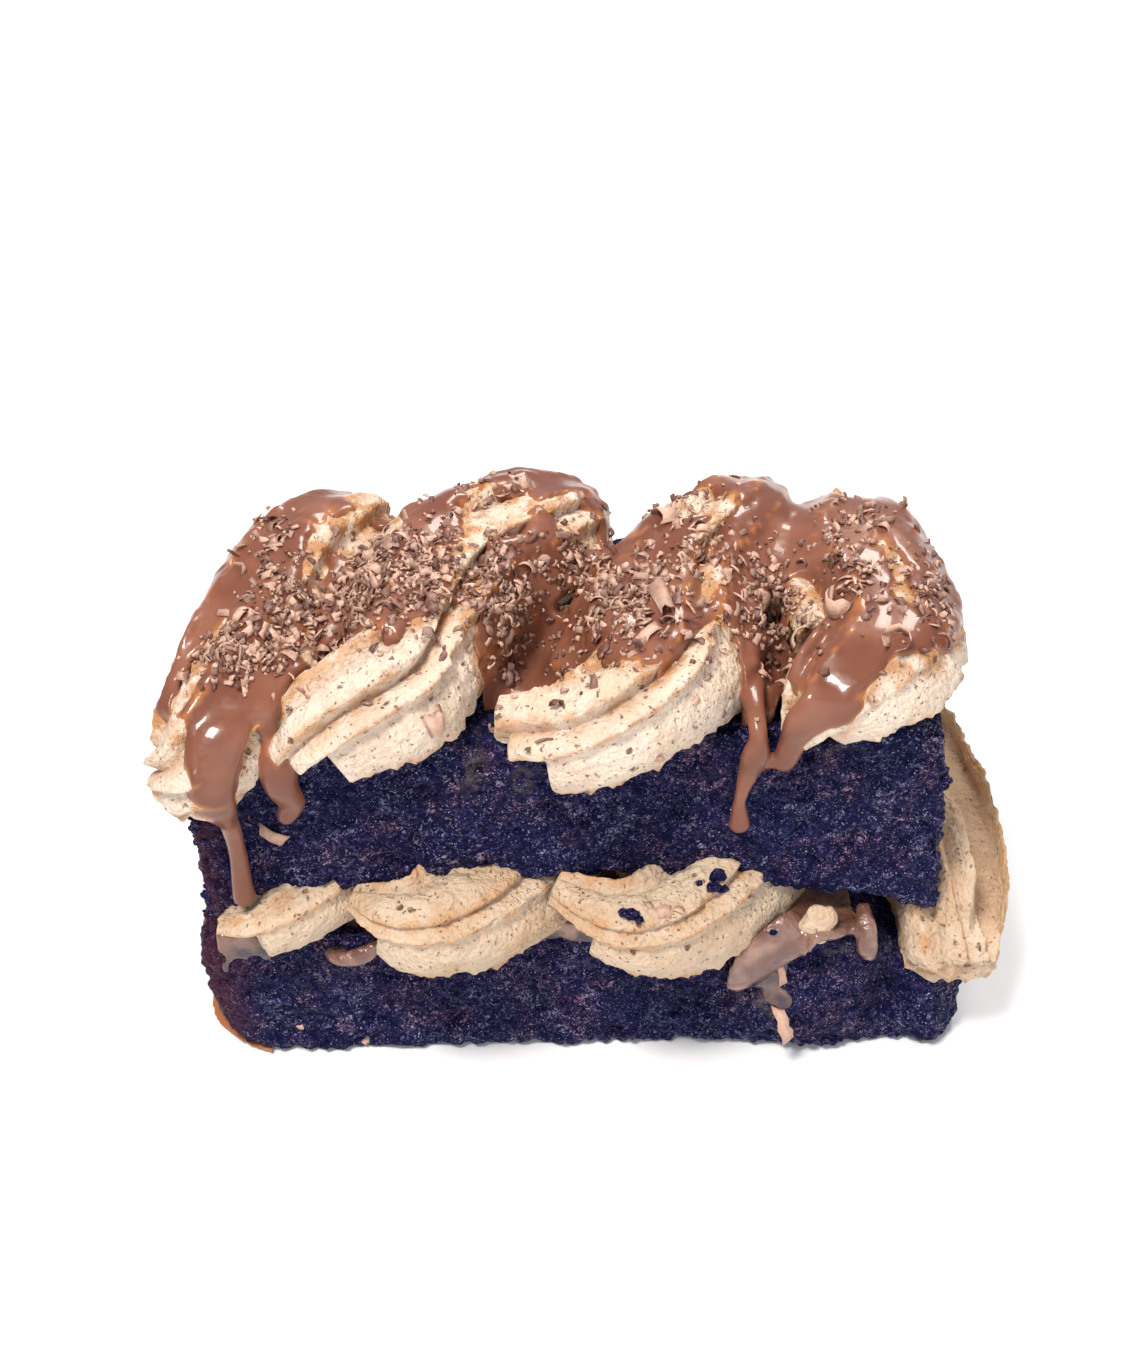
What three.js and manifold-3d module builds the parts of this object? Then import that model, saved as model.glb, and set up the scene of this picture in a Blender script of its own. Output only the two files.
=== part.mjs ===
// Slice of chocolate custard loaf cake: two dark sponges, a custard layer between them,
// piped custard cream in the middle and on top, chocolate sauce drips and chocolate flakes.
// Millimetres, +X along the cut face, +Y away from it, +Z up, underside of the cake at z = 0.
import * as THREE from "three";
import { mergeVertices } from "three/addons/utils/BufferGeometryUtils.js";
import Module from "manifold-3d";

// Driving dimensions
const FRONT_Y = -29;         // cut face that is seen
const BACK_Y = 24;           // far face of the slice
const GAP = 0.3;             // clear air kept between two neighbouring pieces
const LOWER_LEFT_X = -62.5;  // lower sponge, widest point at the left
const LOWER_RIGHT_X = 55.5;  // lower sponge, right end
const LOWER_TOP_Z = 24;      // lower sponge, top over most of its length
const SUNK_TOP_Z = 15;       // lower sponge, top at the sunken right front corner
const UPPER_LEFT_X = -61.5;  // upper sponge, left end
const UPPER_RIGHT_X = 49.5;  // upper sponge, right end at the bottom
const UPPER_TOP_Z = 61.5;    // upper sponge, top
const ARCH_X = -10;          // upper sponge, where its underside arches highest
const ARCH_Z = 35.5;         // upper sponge, underside at the top of the arch
const SAG_LEFT_Z = 28;       // upper sponge, underside at the left end
const SAG_RIGHT_Z = 26.5;    // upper sponge, underside at the right end
const BED_TOP_Z = 67;        // cream and sauce between the ropes on top
const CUSTARD_THICK = 2.6;   // custard between the lower sponge and the cream
const CUSTARD_RIGHT_X = 37;  // and where it ends, before the sunken corner
const FLAKE_THICK = 0.7;     // shaved chocolate
const FLAKE_LONG = 5.5;      // longest flake of a heap
const FLAKE_SHORT = 3;       // and its shortest
const ROPE_RIDGES = 6;       // ridges that the star nozzle leaves round a rope
const TOP_STEPS = 17;        // stations worked out along a rope on top
const FILLING_STEPS = 11;    // and along a rope in the filling
const DRIP_SIDES = 8;        // corners round a run of sauce

const CREAM = new THREE.MeshStandardMaterial({ color: 0xc9a184, roughness: 0.8, metalness: 0 });
const SPONGE = new THREE.MeshStandardMaterial({ color: 0x1d1020, roughness: 0.85, metalness: 0 });
const CUSTARD = new THREE.MeshStandardMaterial({ color: 0x7d5442, roughness: 0.25, metalness: 0 });

const { lerp, smoothstep, degToRad } = THREE.MathUtils;
const wasm = await Module();
wasm.setup();

// Smooth noise between -1 and 1, the same on every run
function cornerValue(i, j, k, seed) {
  const s = Math.sin(i * 127.1 + j * 311.7 + k * 74.7 + seed * 53.3) * 43758.5453;
  return (s - Math.floor(s)) * 2 - 1;
}

function smoothNoise(x, y, z, seed) {
  const [i, j, k] = [Math.floor(x), Math.floor(y), Math.floor(z)];
  const ease = (t) => t * t * (3 - 2 * t);
  const [u, v, w] = [ease(x - i), ease(y - j), ease(z - k)];
  let sum = 0;
  for (let corner = 0; corner < 8; corner++) {
    const [a, b, c] = [corner & 1, (corner >> 1) & 1, (corner >> 2) & 1];
    const weight = (a ? u : 1 - u) * (b ? v : 1 - v) * (c ? w : 1 - w);
    sum += weight * cornerValue(i + a, j + b, k + c, seed);
  }
  return sum;
}

function seededRandom(seed) {
  let state = seed;
  return () => {
    state = (state * 1664525 + 1013904223) % 4294967296;
    return state / 4294967296;
  };
}

// A geometry class's shape with every corner moved by place(x, y, z), as a solid
function shapedSolid(source, place) {
  source.deleteAttribute("normal");
  source.deleteAttribute("uv");
  const points = source.attributes.position;
  for (let i = 0; i < points.count; i++) {
    const moved = place(points.getX(i), points.getY(i), points.getZ(i));
    points.setXYZ(i, moved.x, moved.y, moved.z);
  }
  const merged = mergeVertices(source, 1e-4);
  return new wasm.Manifold(new wasm.Mesh({
    numProp: 3,
    vertProperties: new Float32Array(merged.attributes.position.array),
    triVerts: new Uint32Array(merged.index.array),
  }));
}

function joined(solids) {
  return solids.reduce((all, next) => all.add(next));
}

// Triangles of the largest connected body; what a cut leaves loose beside it is dropped
function largestBody(triangles, vertexCount) {
  const parent = Array.from({ length: vertexCount }, (_, i) => i);
  const root = (i) => {
    while (parent[i] !== i) {
      parent[i] = parent[parent[i]];
      i = parent[i];
    }
    return i;
  };
  for (let t = 0; t < triangles.length; t += 3) {
    parent[root(triangles[t])] = root(triangles[t + 1]);
    parent[root(triangles[t + 1])] = root(triangles[t + 2]);
  }
  const tally = new Map();
  for (let t = 0; t < triangles.length; t += 3) {
    const body = root(triangles[t]);
    tally.set(body, (tally.get(body) ?? 0) + 1);
  }
  const largest = [...tally].sort((a, b) => b[1] - a[1])[0][0];
  return triangles.filter((_, i) => root(triangles[i - (i % 3)]) === largest);
}

function toMesh(solid, name, material) {
  const data = solid.getMesh();
  const kept = largestBody(Array.from(data.triVerts), data.numVert);
  const points = kept.flatMap((v) => Array.from(data.vertProperties.slice(v * 3, v * 3 + 3)));
  const loose = new THREE.BufferGeometry();
  loose.setAttribute("position", new THREE.Float32BufferAttribute(points, 3));
  const geometry = mergeVertices(loose, 1e-6);
  geometry.computeVertexNormals();
  const mesh = new THREE.Mesh(geometry, material);
  mesh.name = name;
  return mesh;
}

// A cake layer: a box whose faces follow the given side functions, with worn edges and
// an uneven crumb. grow moves every face outward, for the room its neighbours leave it.
function cakeLayer(shape, grow = 0) {
  const sideOf = (t) => (Math.abs(t) > 0.499 ? Math.sign(t) : 0);
  return shapedSolid(new THREE.BoxGeometry(1, 1, 1, ...shape.cells), (bx, by, bz) => {
    const [u, v, w] = [bx + 0.5, by + 0.5, bz + 0.5];
    const [sideX, sideY, sideZ] = [sideOf(bx), sideOf(by), sideOf(bz)];
    const x = lerp(shape.left(w, v), shape.right(w), u);
    const y = lerp(shape.front(x, w), shape.back, v);
    const z = lerp(shape.bottom(x, y), shape.top(x, y), w);
    const crumb = smoothNoise(x / 4.5, y / 4.5, z / 4.5, shape.seed)
      + 0.7 * smoothNoise(x / 11, y / 11, z / 11, shape.seed + 5);
    const onEdge = Math.abs(sideX) + Math.abs(sideY) + Math.abs(sideZ) > 1;
    const out = shape.crumb * crumb - (onEdge ? shape.worn : 0) + grow;
    const outZ = shape.flatBase && sideZ < 0 ? grow : out;
    return new THREE.Vector3(x + sideX * out, y + sideY * out, z + sideZ * outZ);
  });
}

// The lower sponge stands flat; its right front corner is broken, sunken and pushed forward
const LOWER = {
  cells: [18, 6, 4], seed: 3, crumb: 0.9, worn: 1.1, flatBase: true,
  left: (w, v) => LOWER_LEFT_X + 7.5 * (1 - w) ** 3 * (1 - v) ** 8,
  right: () => LOWER_RIGHT_X,
  front: (x, w) => {
    const chunk = Math.exp(-(((x - 31) / 10) ** 2) - ((w - 0.45) / 0.5) ** 2);
    const corner = Math.exp(-(((x - 51) / 5) ** 2) - ((w - 0.3) / 0.4) ** 2);
    return FRONT_Y - 4 * chunk - 2.5 * corner + 1.5 * w * (1 - w);
  },
  back: BACK_Y,
  bottom: () => 0,
  top: (x, y) => {
    const sunk = smoothstep(x, 36, 47) * (1 - smoothstep(y, -22, -4));
    return lerp(LOWER_TOP_Z, SUNK_TOP_Z, sunk);
  },
};

// The upper sponge arches over the filling and sags at both ends
const UPPER = {
  cells: [18, 6, 5], seed: 11, crumb: 0.9, worn: 0.9, flatBase: false,
  left: (w, v) => UPPER_LEFT_X + 1.5 * (1 - w) ** 2 + 3.5 * v ** 2,
  right: (w) => UPPER_RIGHT_X - 2 * w ** 2,
  front: () => FRONT_Y,
  back: BACK_Y,
  bottom: (x) => {
    const [endX, endZ] = x < ARCH_X ? [UPPER_LEFT_X, SAG_LEFT_Z] : [UPPER_RIGHT_X, SAG_RIGHT_Z];
    return lerp(ARCH_Z, endZ, ((x - ARCH_X) / (endX - ARCH_X)) ** 2.2);
  },
  top: () => UPPER_TOP_Z,
};

// Cream and sauce that fill the valleys between the ropes on top
const BED = {
  cells: [10, 5, 1], seed: 29, crumb: 0.8, worn: 1, flatBase: false,
  left: () => -54,
  right: () => 43,
  front: (x) => -25.5 + 2 * Math.sin(x / 9),
  back: 15,
  bottom: () => UPPER_TOP_Z - 2,
  top: () => BED_TOP_Z,
};

// The custard layer lies on the lower sponge and shows along the cut face
const CUSTARD_LAYER = {
  cells: [20, 4, 1], seed: 23, crumb: 0.35, worn: 0.2, flatBase: false,
  left: () => LOWER_LEFT_X + 3,
  right: () => CUSTARD_RIGHT_X,
  front: (x) => FRONT_Y - 0.6 - 0.8 * Math.sin(x / 6) + 5 * Math.exp(-(((x + 40.5) / 5) ** 2)),
  back: BACK_Y - 0.5,
  bottom: (x, y) => LOWER.top(x, y) - 1.5,
  top: (x, y) => LOWER.top(x, y) + CUSTARD_THICK,
};

// A round bar bent along a curve from its point at start. section(t, k) gives the corner k of
// the section at t as [distance to the right, distance up]; cap is how far the far end bulges.
function bar(centre, start, sides, steps, sideways, section, cap) {
  return shapedSolid(new THREE.CylinderGeometry(1, 1, 1, sides, steps), (x, y, z) => {
    const t = lerp(start, 1, 0.5 - y);
    const k = (Math.round((Math.atan2(x, z) / (2 * Math.PI)) * sides) + sides) % sides;
    const at = centre.getPoint(t);
    const along = centre.getTangent(t);
    if (Math.hypot(x, z) < 0.5) {
      return at.addScaledVector(along, t > 0.5 ? cap : 0);
    }
    const { right, up } = sideways(along);
    const [distanceRight, distanceUp] = section(t, k, at);
    return at.addScaledVector(right, distanceRight).addScaledVector(up, distanceUp);
  });
}

// Corners of one leaf of a rope, from the ridge at its lower edge up to the next one:
// [share of the way, share of the depth]. The deepest corner lies close below the next ridge.
const LEAF = [[0, 0], [0.45, 0.4], [0.8, 1]];
const SUNK = 0.12;              // reach of a leaf before the place where it begins
const BACK_DEPTH_SHARE = 0.7;   // depth behind the cut face, as a share of the depth at it

// The trough that was pressed into the last rope of the filling: from its rim down to its floor
// and from the floor up to the ridge, in degrees, and the stations between which it begins
const TROUGH_RIM = [18, 42];
const TROUGH_WALL = [67, 76];
const TROUGH_BEGINS = [0.1, 0.3];

// Ropes on top, left to right. ridges: the places of the foot, lower, upper and back ridge, at
// the tip and farther on, in degrees from the side that meets the cut face round over the top.
// knee: the share of the rope where they stop turning. leaves: where the lower, middle and
// upper leaf begin. rows: stations from the tip, along the cut face and back over the sponge,
// as [x, y, z of the centre, half width, half height].
const TOP_DEPTHS = [0.2, 0.32, 0.26, 0.3, 0.3, 0.3];
const TOP_ROPES = [
  { ridges: [[0, -60], [60, 0], [120, 60], [180, 120]], knee: 0.5, leaves: [0, 0, 0],
    rows: [[-60, -33, 56.5, 5, 5], [-58, -33, 62, 7.5, 8], [-53.5, -24, 68, 10, 9],
      [-49.5, -12, 70, 11.5, 9.5], [-45, 1, 71, 11, 9.5], [-39.5, 9, 70.5, 10, 9], [-36, 17, 67, 6, 6]] },
  { ridges: [[-24, -23], [6, 41], [44, 62], [108, 100]], knee: 0.4, leaves: [0.145, 0.075, 0.05],
    rows: [[-48.7, -32.8, 59.4, 3.7, 3.3], [-40.5, -29.8, 64.9, 7.9, 9.4], [-31, -24.4, 67.9, 10.7, 11],
      [-27.7, -16, 70.5, 11.5, 11], [-23, -1, 71, 15, 10.5], [-11, 9, 71, 13.5, 10], [-3, 17, 68, 7, 7]] },
  { ridges: [[-42, -38], [-5, 54], [38, 76], [150, 112]], knee: 0.4, leaves: [0.112, 0.045, 0.02],
    rows: [[-17, -29.7, 63.6, 4.7, 8], [-5.7, -31.8, 65.5, 8.1, 8.9], [4.6, -26.8, 69.1, 10.7, 8.9],
      [7, -16.8, 67.5, 15.5, 10.8], [11, -4, 70.5, 13.5, 10], [20, 7, 71, 10.5, 10], [24.5, 17, 68, 7, 7]] },
  { ridges: [[-33, -4], [11, 45], [70, 105], [110, 140]], knee: 0.4, leaves: [0.085, 0, 0],
    depths: [0.08, 0.26, 0.26, 0.3, 0.3, 0.3],
    rows: [[25.5, -31.8, 63.3, 2.5, 3.7], [29.8, -29.1, 67.9, 7.9, 7.5], [36.9, -23.1, 69.9, 12, 9.3],
      [38, -12, 69.7, 13.5, 9.7], [36, -1, 70, 14.5, 9.5], [38, 8, 69.5, 11, 8.5], [39, 16, 67, 6, 6]] },
];

// Ropes in the filling, left to right; the last one droops over the broken corner
const FILLING_DEPTHS = [0.14, 0.15, 0.34, 0.3, 0.3, 0.3];
const FILLING_ROPES = [
  { ridges: [[-34, -52], [22, 38], [60, 75], [110, 120]], knee: 0.5, leaves: [0.26, 0, 0],
    rows: [[-57.5, -30, 28.5, 3.2, 3.5], [-53.5, -31.5, 29.2, 4, 5], [-46.5, -21.4, 30.9, 12.4, 7],
      [-45.6, 0, 30.2, 14.5, 7.7], [-46, 23, 30, 12, 8]] },
  { ridges: [[-47, -40], [-6, 32], [16, 50], [110, 120]], knee: 0.5, leaves: [0.13, 0, 0],
    rows: [[-38.5, -29.3, 33.1, 2, 2.6], [-30.5, -32.6, 31.6, 6.7, 8.3], [-24.4, -29.5, 30.7, 11, 9.5],
      [-17.3, -16.5, 29.5, 17, 9], [-17, 4, 30, 18, 9], [-17, 23, 30, 13, 8]] },
  { ridges: [[-35, -41], [-10, 40], [13, 60], [110, 120]], knee: 0.5, leaves: [0.13, 0, 0],
    rows: [[-8.6, -29.5, 33.8, 2, 4], [2, -33.5, 31.1, 7.1, 7.8], [11, -28.7, 29.4, 10.2, 10.6],
      [16, -16.5, 29.8, 17.5, 9], [16, 4, 30, 19, 9], [16, 23, 30, 14, 8]] },
  { ridges: [[34, 27], [42, 80], [70, 104], [120, 130]], knee: 0.4, leaves: [0, 0, 0],
    depths: [0.4, 0.25, 0.3, 0.3, 0.3, 0.2], trough: 5.5,
    rows: [[52, -30.5, 17.5, 8, 5.5], [52.6, -26, 19.6, 9, 7.5], [52.5, -17, 24.7, 10.8, 10.3],
      [48.7, -3.6, 27.6, 14.6, 8.6], [46.5, 8, 26, 16, 8.5], [46, 23, 26, 14, 7]] },
];

function pipedRope(rope, depths, steps, seed) {
  const centre = new THREE.CatmullRomCurve3(rope.rows.map(([x, y, z]) => new THREE.Vector3(x, y, z)));
  const size = new THREE.CatmullRomCurve3(rope.rows.map(([, , , a, b]) => new THREE.Vector3(a, b, 0)));
  const sideways = (along) => {
    const right = new THREE.Vector3().crossVectors(along, new THREE.Vector3(0, 0, 1)).normalize();
    return { right, up: new THREE.Vector3().crossVectors(right, along) };
  };
  const [lower, middle, upper] = rope.leaves;
  const begins = [lower, middle, upper, upper, lower, lower];
  const section = (t, k, at) => {
    const [share, groove] = LEAF[k % LEAF.length];
    const leaf = Math.floor(k / LEAF.length);
    const crests = rope.ridges.map(([tip, later]) => lerp(tip, later, Math.min(1, t / rope.knee)));
    const hidden = (crests[0] + 360 - crests[3]) / 3;
    crests.push(crests[3] + hidden, crests[3] + 2 * hidden, crests[0] + 360);
    const turn = lerp(crests[leaf], crests[leaf + 1], share);
    const angle = degToRad(turn);
    const depth = (rope.depths ?? depths)[leaf] * lerp(1, BACK_DEPTH_SHARE, smoothstep(at.y, -25, -5));
    const ragged = 1 + 0.05 * smoothNoise(at.x / 5 + k, at.y / 5, at.z / 5, seed);
    const reach = (1 - depth * groove) * ragged * (t < begins[leaf] ? SUNK : 1);
    const { x: width, y: height } = size.getPoint(t);
    const across = smoothstep(turn, ...TROUGH_RIM) * (1 - smoothstep(turn, ...TROUGH_WALL));
    const trough = (rope.trough ?? 0) * across * smoothstep(t, ...TROUGH_BEGINS);
    return [width * reach * Math.cos(angle), height * reach * Math.sin(angle) - trough];
  };
  return bar(centre, Math.min(...rope.leaves), ROPE_RIDGES * LEAF.length, steps, sideways, section, 0);
}

// Runs of sauce over the cut face: [x, y, z, half width, half thickness] down each run,
// with a bead at its end
const DRIPS = [
  [[-52, -27, 72, 4, 1.8], [-54.5, -34.7, 69.5, 4.3, 1.8], [-56, -38.6, 64, 3.6, 1.8],
    [-55.7, -37.3, 58.5, 3.1, 1.8], [-54.9, -33, 52, 1.6, 1.5], [-54.4, -31.5, 45, 1.4, 1.3],
    [-54.2, -31.6, 36, 1.8, 1.7]],
  [[-44.5, -25, 66, 3, 1.5], [-47, -33, 64, 3.2, 2], [-47, -33.3, 59, 2.6, 2], [-46, -31.6, 54, 2.1, 1.4],
    [-47, -31.4, 51, 1.4, 1.2]],
  [[19.2, -20, 67, 3, 1.5], [19.6, -29, 67, 1.5, 1.2], [19.9, -32.4, 65, 1.4, 1.2],
    [19.6, -32.6, 62, 2.1, 1.4], [18.9, -31.6, 57.5, 1.6, 1.2], [18, -31.2, 52.5, 1, 1],
    [18.1, -31.6, 48, 1.7, 1.5]],
  [[34.5, -26, 72.5, 4.5, 1.8], [29.6, -33.6, 72, 4.2, 1.9], [26.2, -34.2, 69, 3.3, 1.8],
    [24.8, -33.2, 65, 2.2, 1.5], [24.1, -32.4, 61.2, 1.9, 1.4], [23.8, -32, 59.6, 1.6, 1.4]],
  [[24, -32, 61, 1.4, 1.1], [22, -31.8, 60, 1.2, 1], [19.4, -31.8, 59.8, 1.4, 1.1]],
];

// Custard that swells out of the layer: a tongue over the broken sponge, a drip beside it
// and a small fold left of the middle
const CUSTARD_RUNS = [
  [[37, -27, 24.5, 2, 1.2], [32.5, -31, 26.2, 3.2, 1.4], [27.5, -32.4, 26.6, 4.2, 1.4],
    [23.5, -32.5, 23, 4.2, 1.1], [20.6, -31.8, 18.2, 3.2, 0.9], [19.2, -31, 14.8, 2, 0.7]],
  [[38, -28, 28.5, 1.2, 1], [38.4, -31.6, 27, 1.6, 1.2], [38.6, -32, 23.5, 1.8, 1.3],
    [39.4, -31.4, 20.8, 1.2, 1]],
  [[-43, -27, 21.5, 1.6, 1.2], [-40.5, -29.8, 21.4, 1.9, 1.3], [-37, -30.4, 22.9, 1.7, 1.1],
    [-35.5, -30.2, 24.2, 1.1, 0.9]],
];

function runningDrip(rows, grow = 0) {
  const centre = new THREE.CatmullRomCurve3(rows.map((r) => new THREE.Vector3(r[0], r[1], r[2])));
  const steps = (rows.length - 1) * 2;
  const sideways = (along) => {
    const back = new THREE.Vector3().crossVectors(new THREE.Vector3(1, 0, 0), along).normalize();
    return { right: new THREE.Vector3().crossVectors(along, back), up: back };
  };
  const section = (t, k) => {
    const step = Math.round(t * steps) / 2;
    const [from, to] = [rows[Math.floor(step)], rows[Math.ceil(step)]];
    const angle = (2 * Math.PI * k) / DRIP_SIDES;
    const width = (from[3] + to[3]) / 2 + grow;
    const thickness = (from[4] + to[4]) / 2 + grow;
    return [width * Math.cos(angle), thickness * Math.sin(angle)];
  };
  return bar(centre, 0, DRIP_SIDES, steps, sideways, section, rows.at(-1)[3] * 0.7 + grow);
}

// A shaving of chocolate: a flat strip bent to an arc
function flake(length, breadth, bend, place, turn) {
  const radius = length / bend;
  return shapedSolid(new THREE.BoxGeometry(1, 1, 1, 2, 1, 1), (x, y, z) => {
    const reach = radius + FLAKE_THICK * (z + 0.5);
    return new THREE.Vector3(reach * Math.sin(bend * x), breadth * y, reach * Math.cos(bend * x) - radius)
      .applyEuler(turn)
      .add(place);
  });
}

// Heaps of flakes on the cream: [x, y, spread in x, spread in y, how many], largest first
const HEAPS = [
  [-48, -16, 8, 8, 7], [-33, -13, 6, 7, 4], [-25, -9, 5, 9, 6], [-15, -13, 4, 8, 2],
  [6, -13, 7, 7, 4], [26, -15, 9, 8, 6], [44, -17, 4, 7, 3], [12, 4, 9, 6, 2],
];

function flakes(cream) {
  const surface = toMesh(cream, "surface", CREAM);
  const ray = new THREE.Raycaster();
  const random = seededRandom(41);
  const solids = [];
  for (const [x, y, spreadX, spreadY, count] of HEAPS) {
    for (let i = 0; i < count; i++) {
      const px = x + spreadX * (random() + random() - 1);
      const py = y + spreadY * (random() + random() - 1);
      const turn = new THREE.Euler(0.7 * (random() - 0.5), 0.5 * (random() - 0.5), 2 * Math.PI * random());
      const breadth = 2.6 + random();
      const bend = 0.9 + 1.2 * random();
      ray.set(new THREE.Vector3(px, py, 120), new THREE.Vector3(0, 0, -1));
      const [hit] = ray.intersectObject(surface);
      if (hit && hit.point.z > UPPER_TOP_Z + 5) {
        hit.point.z += 0.3;
        const length = lerp(FLAKE_LONG, FLAKE_SHORT, i / count);
        solids.push(flake(length, breadth, bend, hit.point, turn));
      }
    }
  }
  return solids;
}

const dripsWith = (grow) => joined(DRIPS.map((rows) => runningDrip(rows, grow)));
const custardWith = (grow) => joined([
  cakeLayer(CUSTARD_LAYER, grow),
  ...CUSTARD_RUNS.map((rows) => runningDrip(rows, grow)),
]);

const lowerRoom = cakeLayer(LOWER, GAP);
const upperRoom = cakeLayer(UPPER, GAP);
const custard = custardWith(0).subtract(lowerRoom).subtract(upperRoom);
const topRopes = joined([
  cakeLayer(BED),
  ...TOP_ROPES.map((rope, i) => pipedRope(rope, TOP_DEPTHS, TOP_STEPS, 31 + i)),
]);
const topCream = joined([topRopes, dripsWith(0), ...flakes(topRopes)]).subtract(upperRoom);
const fillingCream = joined(
  FILLING_ROPES.map((rope, i) => pipedRope(rope, FILLING_DEPTHS, FILLING_STEPS, 51 + i)),
).subtract(lowerRoom).subtract(upperRoom).subtract(custardWith(GAP)).subtract(dripsWith(GAP));

const slice = new THREE.Group();
slice.name = "custard_cake_slice";
slice.add(
  toMesh(cakeLayer(LOWER), "lower_sponge", SPONGE),
  toMesh(custard, "custard_layer", CUSTARD),
  toMesh(fillingCream, "filling_cream", CREAM),
  toMesh(cakeLayer(UPPER), "upper_sponge", SPONGE),
  toMesh(topCream, "top_cream", CREAM),
);

export default slice;
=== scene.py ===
"""Slice of chocolate custard loaf cake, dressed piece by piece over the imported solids."""
import math
import random

import bmesh
import bpy
import numpy as np
from mathutils import Euler, Matrix, Vector, noise
from mathutils.bvhtree import BVHTree


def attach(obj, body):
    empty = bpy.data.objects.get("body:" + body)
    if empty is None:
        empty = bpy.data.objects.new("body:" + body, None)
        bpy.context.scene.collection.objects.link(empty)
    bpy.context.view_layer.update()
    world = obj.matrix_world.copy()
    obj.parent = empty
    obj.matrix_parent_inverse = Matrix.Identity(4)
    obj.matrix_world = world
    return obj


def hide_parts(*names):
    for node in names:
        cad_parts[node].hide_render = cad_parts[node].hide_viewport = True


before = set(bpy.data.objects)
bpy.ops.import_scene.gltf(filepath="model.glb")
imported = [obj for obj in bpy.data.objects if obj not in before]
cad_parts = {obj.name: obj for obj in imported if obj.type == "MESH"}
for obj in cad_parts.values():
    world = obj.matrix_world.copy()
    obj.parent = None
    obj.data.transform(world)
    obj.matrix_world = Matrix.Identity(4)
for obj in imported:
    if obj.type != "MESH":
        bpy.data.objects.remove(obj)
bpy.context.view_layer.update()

# Lower sponge
# Dark, moist chocolate sponge that carries the slice. It was cut with a knife, so its faces
# are torn crumb; its right front corner broke off, sank and was pushed forward.
MM = 0.001
FRONT_Y = -29.0
BACK_Y = 24.0
LOWER_LEFT_X = -62.5
LOWER_RIGHT_X = 55.5
LOWER_TOP_Z = 24.0
SUNK_TOP_Z = 15.0
SPONGE_CUTS = (269, 50, 62)
# How much finer the cells are at the cut face than at the back
FINER_FRONT = 1.5
WORN_RADIUS = 2.0
# The crumb's lumps, as height, size and step in seed, and its pores and the holes torn in it
CRUMB_LUMPS = ((0.6, 4.5, 0), (0.35, 11, 1), (0.5, 1.9, 2))
PORE_SIZE = 1.5
PORE_DEPTH = 0.9
TORN_DEPTH = 1.1


def ramp(low, high, x):
    """0 at low and 1 at high, smooth between them."""
    t = np.clip((x - low) / (high - low), 0, 1)
    return t * t * (3 - 2 * t)


def mound(x, middle, reach):
    """A smooth bump of height 1 round the middle."""
    return np.exp(-(((x - middle) / reach) ** 2))


def lumps(points, size, seed):
    """Smooth noise from about -1 to 1, with lumps of the given size."""
    shift = Vector((seed * 7.31, seed * 3.17, seed * 5.71))
    return np.array([noise.noise(Vector(p) / size + shift) for p in points])


def layered(points, layers, seed):
    """Lumps of several sizes together; each layer is its height, its size and its step in seed."""
    return sum(height * lumps(points, size, seed + step) for height, size, step in layers)


def grains(points, size, seed):
    """Distance to the nearest of many scattered grains: 0 at a grain, about 1 far from all."""
    shift = Vector((seed * 7.31, seed * 3.17, seed * 5.71))
    return np.array([noise.voronoi(Vector(p) / size + shift)[0][0] for p in points])


def vertex_array(bm):
    return np.array([v.co for v in bm.verts])


def place(bm, points):
    for vertex, point in zip(bm.verts, points):
        vertex.co = point


def unit(ways):
    """The same directions, one millimetre long."""
    return ways / np.linalg.norm(ways, axis=1, keepdims=True)


def moved(points, *ways):
    """The points moved along several directions in turn, each by its own amounts."""
    for direction, amounts in ways:
        points = points + direction * amounts[:, None]
    return points


def cut_box(cuts):
    """A unit box with its edges along x, y and z cut the given numbers of times."""
    bm = bmesh.new()
    bmesh.ops.create_cube(bm, size=1)
    for axis, times in enumerate(cuts):
        edges = [e for e in bm.edges if abs((e.verts[0].co - e.verts[1].co)[axis]) > 1e-6]
        bmesh.ops.subdivide_edges(bm, edges=edges, cuts=times, use_grid_fill=True)
    return bm


def sponge_layer(shape):
    """A block of crumb: a box whose faces follow the side functions, with worn edges and torn pores."""
    bm = cut_box(SPONGE_CUTS)
    box = vertex_array(bm)
    u, v, w = (box + 0.5).T
    v = v ** FINER_FRONT
    left, right = shape["left"](w, v), shape["right"](w)
    x = left + (right - left) * u
    front = shape["front"](x, w)
    y = front + (BACK_Y - front) * v
    bottom, top = shape["bottom"](x, y), shape["top"](x, y)
    z = bottom + (top - bottom) * w
    near_side = np.stack([np.minimum(x - left, right - x), np.minimum(y - front, BACK_Y - y),
                          np.minimum(z - bottom, top - z)], axis=1)
    bent = np.clip(1 - near_side / WORN_RADIUS, 0, 1) * np.sign(box)
    out = unit(bent)
    points = np.stack([x, y, z], axis=1) + WORN_RADIUS * (out - bent)
    seed = shape["seed"]
    crumb = layered(points, CRUMB_LUMPS, seed) + PORE_DEPTH * (0.5 - grains(points, PORE_SIZE, seed + 3))
    torn_out = ramp(0.12, 0.5, lumps(points, 2.8, seed + 4)) * ramp(-0.25, 0.3, lumps(points, 8, seed + 5))
    crumb -= TORN_DEPTH * torn_out + 0.1
    points = moved(points, (out, crumb))
    if shape["flat_base"]:
        points[:, 2] = np.maximum(points[:, 2], 0)
    place(bm, points)
    return bm


def mesh_of(bm, name):
    """A bmesh as a mesh; the bmesh is used up."""
    mesh = bpy.data.meshes.new(name)
    bm.to_mesh(mesh)
    bm.free()
    return mesh


def set_out(name, data):
    """A new object in the scene."""
    made = bpy.data.objects.new(name, data)
    bpy.context.scene.collection.objects.link(made)
    return made


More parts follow.
